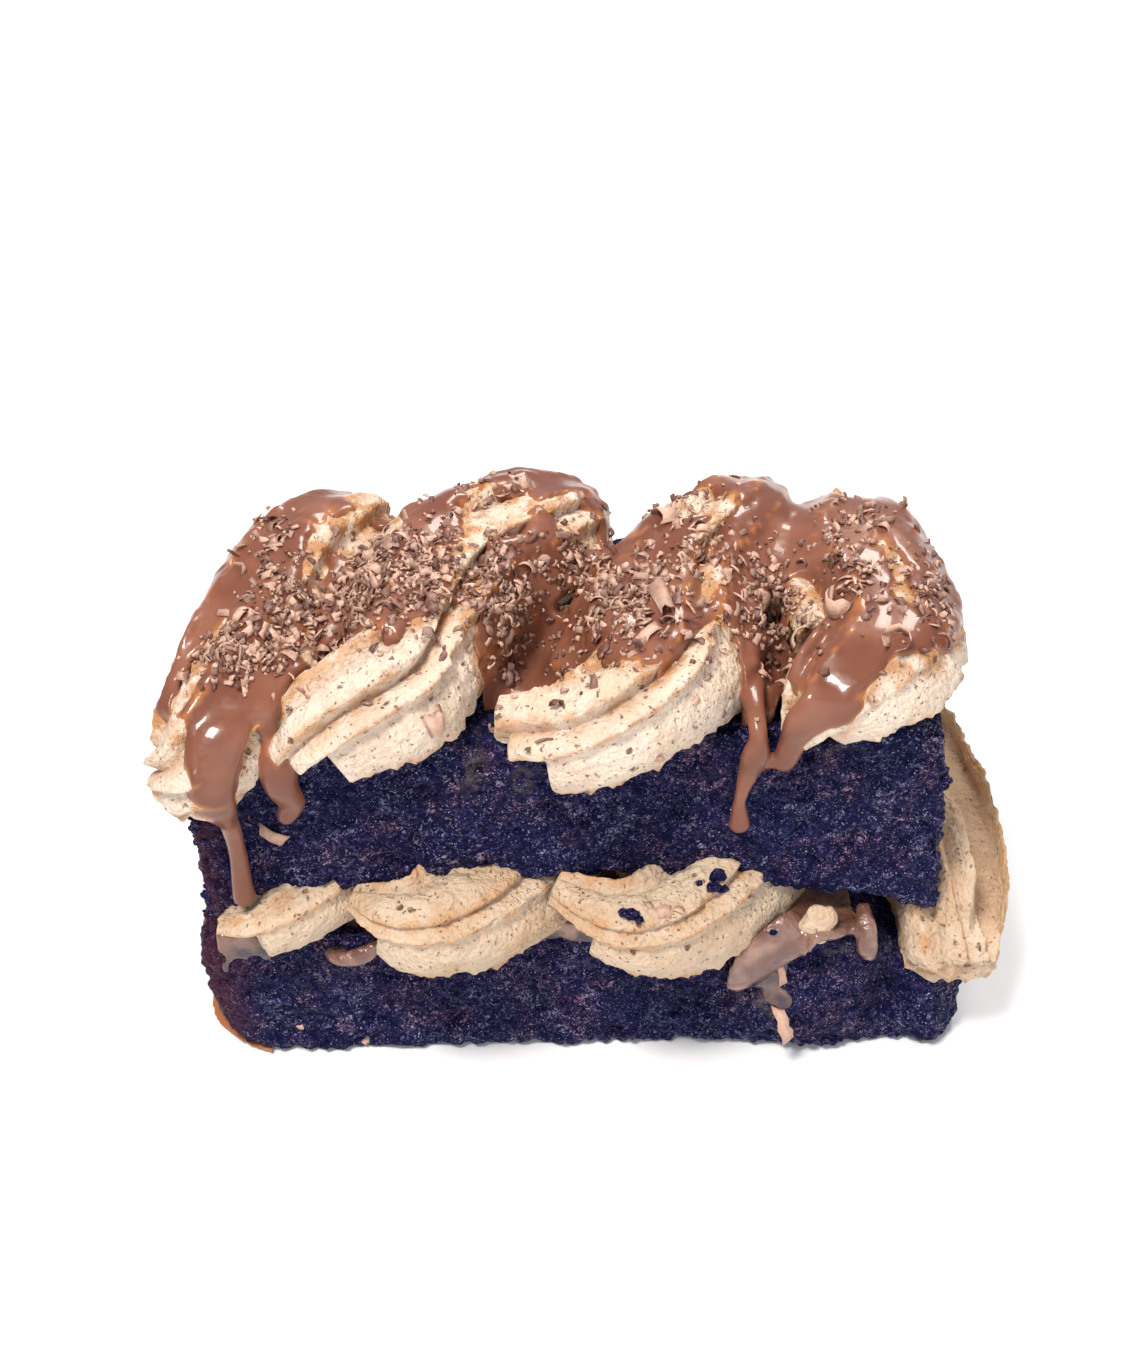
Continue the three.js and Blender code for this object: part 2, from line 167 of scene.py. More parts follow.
def piece(name, bm, material, slot, *nodes):
    """The finished object of a bmesh in millimetres: smooth, in metres, riding on the slice."""
    bmesh.ops.scale(bm, vec=(MM, MM, MM), verts=bm.verts)
    for face in bm.faces:
        face.smooth = True
    made = set_out(name, mesh_of(bm, name))
    made.data.materials.append(material)
    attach(made, "root")
    if nodes:
        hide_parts(*nodes)
    return made


def add(tree, kind, inputs=None, **settings):
    """A shader node; inputs gives a socket's value, or the socket that feeds it."""
    made = tree.nodes.new(kind)
    for key, value in settings.items():
        setattr(made, key, value)
    for key, value in (inputs or {}).items():
        if isinstance(value, bpy.types.NodeSocket):
            tree.links.new(value, made.inputs[key])
        else:
            made.inputs[key].default_value = value
    return made


def worked_out(tree, operation, *values, clamp=False):
    """A number worked out from others at each point."""
    return add(tree, "ShaderNodeMath", dict(enumerate(values)), operation=operation,
               use_clamp=clamp).outputs[0]


def mapped(tree, value, low, high, start=0.0, end=1.0):
    """A value between low and high, as one between start and end."""
    return add(tree, "ShaderNodeMapRange", {"Value": value, "From Min": low, "From Max": high,
                                            "To Min": start, "To Max": end}).outputs["Result"]


def noisy(tree, where, scale, detail, output="Fac"):
    made = add(tree, "ShaderNodeTexNoise", {"Vector": where, "Scale": scale, "Detail": detail})
    return made.outputs[output]


def mottled(tree, where, scale, detail, low, high):
    """How much of each point is patch, where the noise runs from low to high."""
    return add(tree, "ShaderNodeGroup", {"Vector": where, "Scale": scale, "Detail": detail, "From": low,
                                         "To": high}, node_tree=MOTTLE).outputs[0]


def blend(tree, share, colour, other, how="MIX"):
    """A colour that goes over to another one by a share."""
    return add(tree, "ShaderNodeMix", {"Factor": share, "A": colour, "B": other}, data_type="RGBA",
               blend_type=how).outputs["Result"]


def carried(tree, name):
    """The value that each vertex carries by that name."""
    return add(tree, "ShaderNodeAttribute", attribute_name=name).outputs["Fac"]


def torn_places(tree, where, scale, by):
    """The places shifted about by noise, so that what follows them is ragged."""
    bend = noisy(tree, where, scale, 2.0, "Color")
    shift = add(tree, "ShaderNodeVectorMath", {0: bend, "Scale": by}, operation="SCALE").outputs[0]
    return add(tree, "ShaderNodeVectorMath", {0: where, 1: shift}, operation="ADD").outputs[0]


def relief(tree, height, strength, distance):
    """The normals of a surface with that fine height on it."""
    return add(tree, "ShaderNodeBump", {"Height": height, "Strength": strength,
                                        "Distance": distance}).outputs["Normal"]


def new_material(name):
    """An empty material with its output node, and its tree."""
    material = bpy.data.materials.new(name)
    material.use_nodes = True
    tree = material.node_tree
    tree.nodes.clear()
    return material, tree


def finish_material(tree, inputs):
    """The Principled shader with the given inputs, on the material's output."""
    principled = add(tree, "ShaderNodeBsdfPrincipled", inputs)
    add(tree, "ShaderNodeOutputMaterial", {"Surface": principled.outputs["BSDF"]})


def new_group(name, inputs, results):
    """A node group that takes a place and some numbers and gives others, and its input sockets."""
    group = bpy.data.node_groups.new(name, "ShaderNodeTree")
    group.interface.new_socket("Vector", in_out="INPUT", socket_type="NodeSocketVector")
    for side, sockets in (("INPUT", inputs), ("OUTPUT", results)):
        for socket in sockets:
            group.interface.new_socket(socket, in_out=side, socket_type="NodeSocketFloat")
    return group, group.nodes.new("NodeGroupInput").outputs


def mottle_group():
    """Patches of one colour in another, by noise: how much of each point is patch."""
    group, start = new_group("mottle", ("Scale", "Detail", "From", "To"), ("Mask",))
    pattern = noisy(group, start["Vector"], start["Scale"], start["Detail"])
    patch = add(group, "ShaderNodeMapRange", {"Value": pattern, "From Min": start["From"],
                                              "From Max": start["To"]}, interpolation_type="SMOOTHSTEP")
    add(group, "NodeGroupOutput", {"Mask": patch.outputs["Result"]})
    return group


def crumb_group():
    """Torn crumb: its height, how light each grain is, and where a painted glint stands for light on a wet
    point.
    """
    group, start = new_group("crumb", ("Clumps", "Grains"), ("Height", "Light", "PaintedGlint"))
    torn = torn_places(group, start["Vector"], 800.0, 0.0011)
    heights = []
    shares = []
    for size in ("Clumps", "Grains"):
        cells = add(group, "ShaderNodeTexVoronoi", {"Vector": torn, "Scale": start[size]}).outputs
        heights.append(cells["Distance"])
        shares.append(add(group, "ShaderNodeSeparateColor", {"Color": cells["Color"]}).outputs["Red"])
    light = worked_out(group, "MULTIPLY", *shares)
    depth = worked_out(group, "MULTIPLY_ADD", heights[1], 0.45, heights[0])
    height = worked_out(group, "SUBTRACT", 1.0, depth)
    glints = add(group, "ShaderNodeTexVoronoi", {"Vector": torn, "Scale": GLINTS}).outputs
    chance = add(group, "ShaderNodeSeparateColor", {"Color": glints["Color"]}).outputs["Green"]
    some = mapped(group, chance, 0.74, 0.95)
    painted_glint_spots = worked_out(group, "MULTIPLY", some, mapped(group, glints["Distance"], 0.2, 0.5, 1.0, 0.0))
    add(group, "NodeGroupOutput", {"Height": height, "Light": light, "PaintedGlint": painted_glint_spots})
    return group


# Clumps of crumb, grains and the points that get a painted glint, along a metre
CLUMPS = 1250.0
GRAINS = 3300.0
GLINTS = 4000.0
MOTTLE = mottle_group()
CRUMB = crumb_group()
# How light the crumb is: share, then colour. The palest, bluish tone is partly a painted glint on the
# lightest grains, and the rest is the grains' own tone
CRUMB_TONES_AND_GLINT = [(0.0, (0.001, 0.002, 0.03, 1)), (0.16, (0.006, 0.004, 0.045, 1)),
               (0.4, (0.03, 0.02, 0.085, 1)), (0.66, (0.08, 0.065, 0.15, 1)), (0.88, (0.24, 0.24, 0.36, 1))]


def sponge_material():
    material, tree = new_material("moist_sponge")
    where = add(tree, "ShaderNodeTexCoord").outputs["Object"]
    crumb = add(tree, "ShaderNodeGroup", {"Vector": where, "Clumps": CLUMPS, "Grains": GRAINS},
                node_tree=CRUMB).outputs
    bright = mapped(tree, mottled(tree, where, 300.0, 3.0, 0.3, 0.7), 0.0, 1.0, 0.62, 1.28)
    light = worked_out(tree, "MULTIPLY", crumb["Light"], bright)
    tones = add(tree, "ShaderNodeValToRGB", {"Fac": light})
    for _ in range(len(CRUMB_TONES_AND_GLINT) - 2):
        tones.color_ramp.elements.new(0.5)
    for element, (position, tone) in zip(tones.color_ramp.elements, CRUMB_TONES_AND_GLINT):
        element.position = position
        element.color = tone
    colour = tones.outputs["Color"]
    browner = mottled(tree, where, 150.0, 3.0, 0.46, 0.66)
    colour = blend(tree, browner, colour, (1.45, 0.85, 0.8, 1), "MULTIPLY")
    bluer = mottled(tree, where, 95.0, 2.0, 0.52, 0.7)
    colour = blend(tree, bluer, colour, (0.8, 1.08, 1.05, 1), "MULTIPLY")
    # Painted highlight: scattered grains turn bluish-white, as if they caught the light on wet crumb
    painted_glint = worked_out(tree, "MULTIPLY", crumb["PaintedGlint"], bright, clamp=True)
    colour = blend(tree, painted_glint, colour, (0.4, 0.39, 0.52, 1))
    colour = blend(tree, carried(tree, "wet"), colour, (0.09, 0.018, 0.024, 1))
    worn = mottled(tree, where, 620.0, 4.0, 0.38, 0.62)
    streak = worked_out(tree, "MULTIPLY", carried(tree, "smear"), worn)
    colour = blend(tree, streak, colour, (0.13, 0.1, 0.08, 1))
    roughness = mapped(tree, light, 0.15, 0.6, 0.75, 0.25)
    finish_material(tree, {"Base Color": colour, "Roughness": roughness,
                           "Normal": relief(tree, crumb["Height"], 1.0, 0.0012),
                           "Specular IOR Level": 0.25, "Specular Tint": (0.5, 0.58, 1.0, 1)})
    return material


SPONGE = sponge_material()
# The ragged edge of a blot: height, size and step in seed of its lumps
BLOT_EDGE = ((0.9, 2.2, 0), (0.5, 0.9, 1))


def blots(across, up, places, seed):
    """How deep inside the nearest of some ragged blots a place is: below 0 outside all.
    places: the middle, across and up, and the half width and half height of each blot."""
    deep = np.full(len(across), -10.0)
    for middle_across, middle_up, wide, high in places:
        ring = np.hypot((across - middle_across) / wide, (up - middle_up) / high)
        deep = np.maximum(deep, (1 - ring) * min(wide, high))
    flat = np.stack([across, up, 0 * up], axis=1)
    return deep + layered(flat, BLOT_EDGE, seed)


def paint(thing, name, values):
    """Gives each vertex of a finished piece a value that its material reads by name."""
    layer = thing.data.attributes.new(name, "FLOAT", "POINT")
    layer.data.foreach_set("value", np.clip(values, 0, 1))


def corners_of(thing):
    """The places of a finished piece's vertices, in millimetres."""
    return np.array([v.co for v in thing.data.vertices]) / MM


def stain_crumb(sponge, smears, smear_seed, wet_from_x, wet_seed):
    """Paints the smears of custard on the cut face and the sauce that soaked the left end."""
    skin = corners_of(sponge)
    smeared = SMEAR_SHARE * blots(skin[:, 0], skin[:, 2], smears, smear_seed)
    paint(sponge, "smear", smeared * (skin[:, 1] < SMEAR_BACK_Y))
    paint(sponge, "wet", WET_SHARE * ramp(wet_from_x, WET_FULL_X, skin[:, 0] + 2 * lumps(skin, 3, wet_seed)))


def lower_front(x, w):
    chunk = mound(x, 31, 10) * mound(w, 0.45, 0.5)
    corner = mound(x, 51, 5) * mound(w, 0.3, 0.4)
    gap = mound(x, 43, 2.4) * mound(w, 0.55, 0.35)
    return FRONT_Y - 4 * chunk - 2.5 * corner + 3.5 * gap + 1.5 * w * (1 - w) + 2.5 * ramp(50, 56, x)


def lower_top(x, y):
    sunk = ramp(36, 47, x) * (1 - ramp(-22, -4, y))
    return LOWER_TOP_Z + (SUNK_TOP_Z - LOWER_TOP_Z) * sunk


LOWER = {
    "seed": 3, "flat_base": True,
    "left": lambda w, v: LOWER_LEFT_X + 7.5 * (1 - w) ** 3 * (1 - v) ** 8,
    "right": lambda w: LOWER_RIGHT_X + 0 * w,
    "front": lower_front,
    "bottom": lambda x, y: 0 * x,
    "top": lower_top,
}
# How far sauce that ran down the left end has reddened the crumb, and where it does so fully
WET_SHARE = 0.7
WET_FULL_X = -61
# How strongly custard has smeared the cut face, how far back, and where: x and z of the middle,
# half width, half height
SMEAR_SHARE = 0.4
SMEAR_BACK_Y = -24
LOWER_SMEARS = [(-54, 22.5, 5.5, 2), (24, 12, 5, 3.5), (34, 21, 3, 2)]
lower_sponge = piece("lower_sponge_crumb", sponge_layer(LOWER), SPONGE, "sponge", "lower_sponge")
stain_crumb(lower_sponge, LOWER_SMEARS, 65, -53, 68)

# Custard
# A thin, glossy layer of brown custard on the lower sponge. It swells out over the broken
# sponge, hangs in a drip beside that, and shows as a small fold left of the middle. A film
# of it lies on the crumb under the tongue and under the left rope.
CUSTARD_THICK = 2.6
CUSTARD_SUNK = 1.5
CUSTARD_LEFT_X = -59.5
CUSTARD_RIGHT_X = 37.0
CUSTARD_CUTS = (110, 40, 4)
CUSTARD_VOXEL = 0.6
RUN_SIDES = 16
RUN_STEPS = 8
CAP_RINGS = 4
# How far the bead at the end of a run stands out, against the run's half width there
BEAD_LONG = 0.7
# x, y, z, half width and half thickness down each run
CUSTARD_RUNS = [
    [(37, -27, 24.5, 2, 1.2), (32.5, -31, 26.2, 3.2, 1.4), (27.5, -32.4, 26.6, 4.2, 1.4),
     (23.5, -32.5, 23, 4.2, 1.1), (20.6, -31.8, 18.2, 3.2, 0.9), (19.2, -31, 14.8, 2, 0.7)],
    [(38, -28, 28.5, 1.2, 1), (38.4, -31.6, 27, 1.6, 1.2), (38.6, -32, 23.5, 1.8, 1.3),
     (39.4, -31.4, 20.8, 1.2, 1)],
    [(-43, -27, 21.5, 1.6, 1.2), (-40.5, -29.8, 21.4, 1.9, 1.3), (-37, -30.4, 22.9, 1.7, 1.1),
     (-35.5, -30.2, 24.2, 1.1, 0.9)],
]
# Places that the thin film covers on the lower sponge: x, z, half width, half height
FILM_PLACES = [(23, 18, 4.6, 6), (25.5, 12.8, 3.4, 3), (31, 25, 3.4, 2), (-55, 22.2, 6, 1.8),
               (-58.6, 19.5, 1.6, 2.6)]
FILM_THICK = 0.7
FILM_BACK_Y = -25
FILM_ROUNDS = 8


def curve_through(rows, stations):
    """Points of a smooth curve through the rows, at stations from 0 to 1."""
    rows = np.array(rows, float)
    rows = np.vstack([2 * rows[0] - rows[1], rows, 2 * rows[-1] - rows[-2]])
    at = np.clip(stations, 0, 1) * (len(rows) - 3)
    start = np.minimum(at.astype(int), len(rows) - 4)
    weight = (at - start)[:, None]
    p0, p1, p2, p3 = (rows[start + k] for k in range(4))
    d0, d1, d2 = (np.sqrt(np.linalg.norm(b - a, axis=1, keepdims=True)) for a, b in
                  ((p0, p1), (p1, p2), (p2, p3)))
    d1 = np.maximum(d1, 1e-4)
    d0 = np.where(d0 < 1e-4, d1, d0)
    d2 = np.where(d2 < 1e-4, d1, d2)
    lead = ((p1 - p0) / d0 - (p2 - p0) / (d0 + d1) + (p2 - p1) / d1) * d1
    trail = ((p2 - p1) / d1 - (p3 - p1) / (d1 + d2) + (p3 - p2) / d2) * d1
    return (p1 + lead * weight + (3 * (p2 - p1) - 2 * lead - trail) * weight ** 2
            + (2 * (p1 - p2) + lead + trail) * weight ** 3)


def run_of(rows, station, apart):
    """Centre, half sizes and direction of a run or rope at its stations; the direction is taken
    between two places that far apart on either side."""
    centres = [row[:3] for row in rows]
    along = curve_through(centres, station + apart) - curve_through(centres, station - apart)
    return curve_through(centres, station), curve_through([row[3:] for row in rows], station), unit(along)


def bar(sides, steps):
    """A closed round bar: for each vertex, its station from 0 to 1, its angle, and its rim: 1 on
    the side, less on the end caps and 0 in their middle."""
    bm = bmesh.new()
    bmesh.ops.create_cone(bm, cap_ends=True, segments=sides, radius1=1, radius2=1, depth=1)
    long_edges = [e for e in bm.edges if abs((e.verts[0].co - e.verts[1].co).z) > 0.5]
    bmesh.ops.subdivide_edges(bm, edges=long_edges, cuts=steps - 1)
    ends = [f for f in bm.faces if len(f.verts) == sides]
    for _ in range(CAP_RINGS):
        bmesh.ops.inset_individual(bm, faces=ends, thickness=1 / (CAP_RINGS + 1))
    bmesh.ops.poke(bm, faces=ends)
    x, y, z = vertex_array(bm).T
    return bm, np.clip(0.5 - z, 0, 1), np.arctan2(y, x), np.minimum(np.hypot(x, y), 1)


def run_down(rows):
    """A run of sauce or custard down the cut face, with a bead at its end."""
    bm, station, angle, rim = bar(RUN_SIDES, RUN_STEPS * (len(rows) - 1))
    spine, size, along = run_of(rows, station, 0.01)
    back = unit(np.cross([1, 0, 0], along))
    right = np.cross(along, back)
    bead = BEAD_LONG * rows[-1][3] * np.sqrt(1 - rim ** 2) * (station > 0.5)
    across, through = rim * np.cos(angle) * size[:, 0], rim * np.sin(angle) * size[:, 1]
    place(bm, moved(spine, (right, across), (back, through), (along, bead)))
    return bm


def join(parts):
    """Several bmeshes as one; the parts are used up."""
    whole = bmesh.new()
    for part in parts:
        mesh = mesh_of(part, "part")
        whole.from_mesh(mesh)
        bpy.data.meshes.remove(mesh)
    return whole


def melted(bm, voxel, rounds):
    """The closed parts of a bmesh run together into one skin, smoothed a number of rounds."""
    bmesh.ops.recalc_face_normals(bm, faces=bm.faces)
    mesh = mesh_of(bm, "melting")
    holder = set_out("melting", mesh)
    remesh = holder.modifiers.new("melt", "REMESH")
    remesh.mode = "VOXEL"
    remesh.voxel_size = voxel
    skin = holder.evaluated_get(bpy.context.evaluated_depsgraph_get()).to_mesh()
    whole = bmesh.new()
    whole.from_mesh(skin)
    bpy.data.objects.remove(holder)
    bpy.data.meshes.remove(mesh)
    for _ in range(rounds):
        bmesh.ops.smooth_vert(whole, verts=whole.verts, factor=0.5, use_axis_x=True, use_axis_y=True,
                              use_axis_z=True)
    return whole


def custard_sheet():
    """The layer itself, from the lower sponge's top up to its own thickness."""
    bm = cut_box(CUSTARD_CUTS)
    u, v, w = (vertex_array(bm) + 0.5).T
    x = CUSTARD_LEFT_X + (CUSTARD_RIGHT_X - CUSTARD_LEFT_X) * u
    front = FRONT_Y - 0.6 - 0.8 * np.sin(x / 6) + 5 * mound(x, -40.5, 5)
    y = front + (BACK_Y - 0.5 - front) * v
    z = lower_top(x, y) - CUSTARD_SUNK + (CUSTARD_THICK + CUSTARD_SUNK) * w
    points = np.stack([x, y, z], axis=1)
    points[:, 1] += 0.7 * lumps(points, 3.5, 61) * (v < 0.5)
    place(bm, points)
    return bm


def trim(bm, kept):
    """Leaves only the faces whose corners are all kept; kept goes by the vertices' order."""
    bm.verts.index_update()
    gone = [f for f in bm.faces if not all(kept[v.index] for v in f.verts)]
    bmesh.ops.delete(bm, geom=gone, context="FACES")
    bmesh.ops.delete(bm, geom=[v for v in bm.verts if not v.link_faces], context="VERTS")


def thicken(bm, shift):
    """Makes a sheet a closed skin: what is extruded moves by shift(vertex)."""
    for part in bmesh.ops.extrude_face_region(bm, geom=bm.faces[:])["geom"]:
        if isinstance(part, bmesh.types.BMVert):
            part.co += Vector(shift(part))


def film_over(thing, deep):
    """A thin film over the part of a piece's skin where deep is above 0."""
    bm = bmesh.new()
    bm.from_mesh(thing.data)
    bmesh.ops.scale(bm, vec=(1 / MM, 1 / MM, 1 / MM), verts=bm.verts)
    trim(bm, deep > 0)
    for _ in range(FILM_ROUNDS):
        bmesh.ops.smooth_vert(bm, verts=bm.verts, factor=0.5, use_axis_y=True)
    bmesh.ops.translate(bm, vec=(0, -FILM_THICK, 0), verts=bm.verts)
    thicken(bm, lambda vertex: (0, 3 * FILM_THICK, 0))
    return bm


def surface_of(objects):
    """The skins of several pieces, in millimetres, to send rays at."""
    corners = []
    faces = []
    for thing in objects:
        first = len(corners)
        corners += [v.co / MM for v in thing.data.vertices]
        faces += [[first + i for i in p.vertices] for p in thing.data.polygons]
    return BVHTree.FromPolygons(corners, faces)


def carry(bm, name, values):
    """Gives each vertex a value of that name, for the material or for a later step."""
    layer = bm.verts.layers.float.new(name)
    for vertex, value in zip(bm.verts, values):
        vertex[layer] = value
    return layer


def carry_thinness(bm, tree, thick, thin, film_top_z):
    """Gives each vertex of a poured skin the share by which it is thin: 0 where it lies at the
    thick height over what is under it, 1 at the thin height and below film_top_z."""
    depths = np.array([tree.find_nearest(v.co)[3] for v in bm.verts])
    carry(bm, "thin", np.where(vertex_array(bm)[:, 2] < film_top_z, 1, ramp(thick, thin, depths)))


def custard_material():
    material, tree = new_material("glossy_custard")
    where = add(tree, "ShaderNodeTexCoord").outputs["Object"]
    pale = mottled(tree, where, 150.0, 3.0, 0.4, 0.65)
    body = blend(tree, pale, (0.15, 0.062, 0.04, 1), (0.34, 0.19, 0.14, 1))
    thin = carried(tree, "thin")
    body = blend(tree, worked_out(tree, "MULTIPLY", thin, 0.55), body, (0.085, 0.04, 0.035, 1))
    crumb_under = mottled(tree, where, 380.0, 4.0, 0.4, 0.58)
    seen_through = worked_out(tree, "MULTIPLY_ADD", thin, 0.8, 0.12)
    dark = worked_out(tree, "MULTIPLY", crumb_under, seen_through)
    colour = blend(tree, dark, body, (0.03, 0.014, 0.03, 1))
    ripple = relief(tree, noisy(tree, where, 520.0, 4.0), 0.8, 0.0012)
    finish_material(tree, {"Base Color": colour, "Roughness": 0.22,
                           "Normal": ripple, "Coat Weight": 0.6, "Coat Roughness": 0.08,
                           "Subsurface Weight": 0.25, "Subsurface Radius": (0.003, 0.0015, 0.001),
                           "Subsurface Scale": 1.0})
    return material


CUSTARD = custard_material()
skin = corners_of(lower_sponge)
film_deep = blots(skin[:, 0], skin[:, 2], FILM_PLACES, 67) - 0.5 - 5 * (skin[:, 1] > FILM_BACK_Y)
custard = [custard_sheet(), film_over(lower_sponge, film_deep), *map(run_down, CUSTARD_RUNS)]
custard = melted(join(custard), CUSTARD_VOXEL, 2)
carry_thinness(custard, surface_of([lower_sponge]), 1.5, 0.8, 0)
custard = piece("custard_layer_skin", custard, CUSTARD, "custard", "custard_layer")

# Cream filling
# Custard cream piped between the sponges with a star nozzle, rope beside rope from the cut
# face to the back. The ridges were torn as the cream was drawn; the last rope droops and has a
# trough pressed into it, and the knife left a dab on the tongue of custard.
ROPE_SIDES = 150
ROPE_LEAVES = 6
# Where a leaf is deepest, as a share before the next ridge, how steeply it goes there, how wide
# a ridge is, and the reach of a leaf before the place where it begins
GROOVE_AT = 0.2
GROOVE_SHARP = 1.5
RIDGE_WIDE = 0.09
SUNK = 0.12
# How much shallower the grooves are behind the cut face, how round the tip is, and the station
# where a frilled end is smooth again
BACK_SHALLOWER = 0.3
TIP_ROUND = 0.25
FRILL_ENDS = 0.3
# Lumps of the whole rope, of its faces, where they are torn, on its ridges and of a frilled end,
# each as height, size and step in seed
ROPE_LUMPS = ((0.05, 7, 0), (0.022, 0.9, 1))
FACE_LUMPS = ((0.03, 2.4, 7),)
TORN_LUMPS = ((0.06, 2.6, 4), (0.045, 1.2, 5))
RIDGE_LUMPS = ((0.08, 1.7, 2), (0.06, 0.8, 3))
FRILL_LUMPS = ((1, 3.5, 6), (0.7, 1.5, 8))
FILLING_STEPS = 140
FILLING_DEPTHS = (0.14, 0.15, 0.34, 0.3, 0.3, 0.3)
# Each rope: the places of its ridges at the tip and farther on, in degrees from the side that
# meets the cut face round over the top (foot, lower, upper and back ridge); the share of the
# rope where they stop turning; where its lower, middle and upper leaf begin; and its stations
# from the tip as x, y, z of the centre, half width and half height. The last one also has the
# depths of its own leaves, how frilled its end and how ragged its ridges are, the leaf whose
# groove gets painted shade, and how deep the trough in it is.
FILLING_ROPES = [
    {"ridges": [(-34, -52), (22, 38), (60, 75), (110, 120)], "knee": 0.5, "leaves": (0.26, 0, 0),
     "rows": [(-57.5, -30, 28.5, 3.2, 3.5), (-53.5, -31.5, 29.2, 4, 5), (-46.5, -21.4, 30.9, 12.4, 7),
              (-45.6, 0, 30.2, 14.5, 7.7), (-46, 23, 30, 12, 8)]},
    {"ridges": [(-47, -40), (-6, 32), (16, 50), (110, 120)], "knee": 0.5, "leaves": (0.13, 0, 0),
     "rows": [(-38.5, -29.3, 33.1, 2, 2.6), (-30.5, -32.6, 31.6, 6.7, 8.3), (-24.4, -29.5, 30.7, 11, 9.5),
              (-17.3, -16.5, 29.5, 17, 9), (-17, 4, 30, 18, 9), (-17, 23, 30, 13, 8)]},
    {"ridges": [(-35, -41), (-10, 40), (13, 60), (110, 120)], "knee": 0.5, "leaves": (0.13, 0, 0),
     "rows": [(-8.6, -29.5, 33.8, 2, 4), (2, -33.5, 31.1, 7.1, 7.8), (11, -28.7, 29.4, 10.2, 10.6),
              (16, -16.5, 29.8, 17.5, 9), (16, 4, 30, 19, 9), (16, 23, 30, 14, 8)]},
    {"ridges": [(34, 27), (42, 80), (70, 104), (120, 130)], "knee": 0.4, "leaves": (0, 0, 0),
     "depths": (0.4, 0.25, 0.3, 0.3, 0.3, 0.2), "frill": 1.6, "ragged": 0.3, "shaded_leaf": 0, "trough": 5.5,
     "rows": [(52, -30.5, 17.5, 8, 5.5), (52.6, -26, 19.6, 9, 7.5), (52.5, -17, 24.7, 10.8, 10.3),
              (48.7, -3.6, 27.6, 14.6, 8.6), (46.5, 8, 26, 16, 8.5), (46, 23, 26, 14, 7)]},
]
# The trough that was pressed into the last rope: from the rim to its floor and from the floor's
# other side up to the ridge, in degrees, and between which stations it begins
TROUGH_RIM = (18, 42)
TROUGH_WALL = (76, 67)
TROUGH_BEGINS = (0.1, 0.3)
# Middle, half sizes and lumps of the dab on the tongue of custard
DAB_AT = (30.8, -32.4, 28.6)
DAB_HALF = (2.8, 1.6, 3.7)
DAB_LUMPS = ((0.25, 2.2, 0), (0.08, 0.8, 1))


def piped_rope(rope, steps, depths, seed):
    """A rope of cream from a star nozzle: leaves that overlap downward, each with a torn ridge at
    its lower edge, a sharp step in below the ridge and a long face down to the next one."""
    bm, station, angle, rim = bar(ROPE_SIDES, steps)
    station = min(rope["leaves"]) + (1 - min(rope["leaves"])) * station
    spine, size, along = run_of(rope["rows"], station, 0.004)
    right = unit(np.cross(along, [0, 0, 1]))
    up = np.cross(right, along)
    turned = np.minimum(1, station / rope["knee"])
    crests = [tip + (later - tip) * turned for tip, later in rope["ridges"]]
    hidden = (crests[0] + 360 - crests[3]) / 3
    crests = np.array(crests + [crests[3] + hidden, crests[3] + 2 * hidden, crests[0] + 360])
    lobe = np.mod(angle / (2 * math.pi) * ROPE_LEAVES + 1e-6, ROPE_LEAVES)
    leaf = np.minimum(lobe.astype(int), ROPE_LEAVES - 1)
    share = lobe - leaf
    every = np.arange(len(lobe))
    theta = np.radians(crests[leaf, every] + share * (crests[leaf + 1, every] - crests[leaf, every]))
    falling = 1 - GROOVE_AT
    groove = np.where(share < falling, (share / falling) ** GROOVE_SHARP,
                      np.cos((share - falling) / GROOVE_AT * math.pi / 2))
    crest = mound(np.minimum(share, 1 - share), 0, RIDGE_WIDE)
    depth = np.array(rope.get("depths", depths))[leaf] * (1 - BACK_SHALLOWER * ramp(-25, -5, spine[:, 1]))
    wide, high = np.cos(theta) * size[:, 0], np.sin(theta) * size[:, 1]
    rough = moved(spine, (right, rim * wide), (up, rim * high))
    reach = (1 - depth * groove) * (1 + layered(rough, ROPE_LUMPS, seed)) + layered(rough, FACE_LUMPS, seed)
    reach += np.where(leaf == 2, 1, 0.3) * (1 - crest) * layered(rough, TORN_LUMPS, seed)
    reach += crest * layered(rough, RIDGE_LUMPS, seed) * rope.get("ragged", 1)
    frill = rope.get("frill", 0) * ramp(FRILL_ENDS, 0, station) * layered(rough, FRILL_LUMPS, seed)
    reach += 0.05 * frill
    lower, middle, upper = rope["leaves"]
    begins = np.where(lobe < 0.93, lower, np.where(lobe < 1.93, middle, np.where(lobe < 4, upper, lower)))
    begun = np.where(begins > 0, ramp(-0.006, 0.006, station - begins), 1)
    reach *= rim * (SUNK + (1 - SUNK) * begun)
    dome = TIP_ROUND * size.min(axis=1) * (1 - rim ** 2) * (station < 0.5)
    turn = np.degrees(theta)
    pressed = ramp(*TROUGH_BEGINS, station) * ramp(*TROUGH_RIM, turn) * ramp(*TROUGH_WALL, turn)
    trough = rope.get("trough", 0) * pressed
    place(bm, moved(spine, (right, reach * wide), (up, reach * high - trough), (along, frill - dome)))
    carry(bm, "crest", crest)
    # The deep groove of one leaf, for the painted shade in the cream's colour
    carry(bm, "groove", groove * (leaf == rope.get("shaded_leaf", 1)))
    # Where the trough is, for the painted shade inside it
    carry(bm, "pressed", ramp(0.35, 1, pressed) * ("trough" in rope))
    return bm


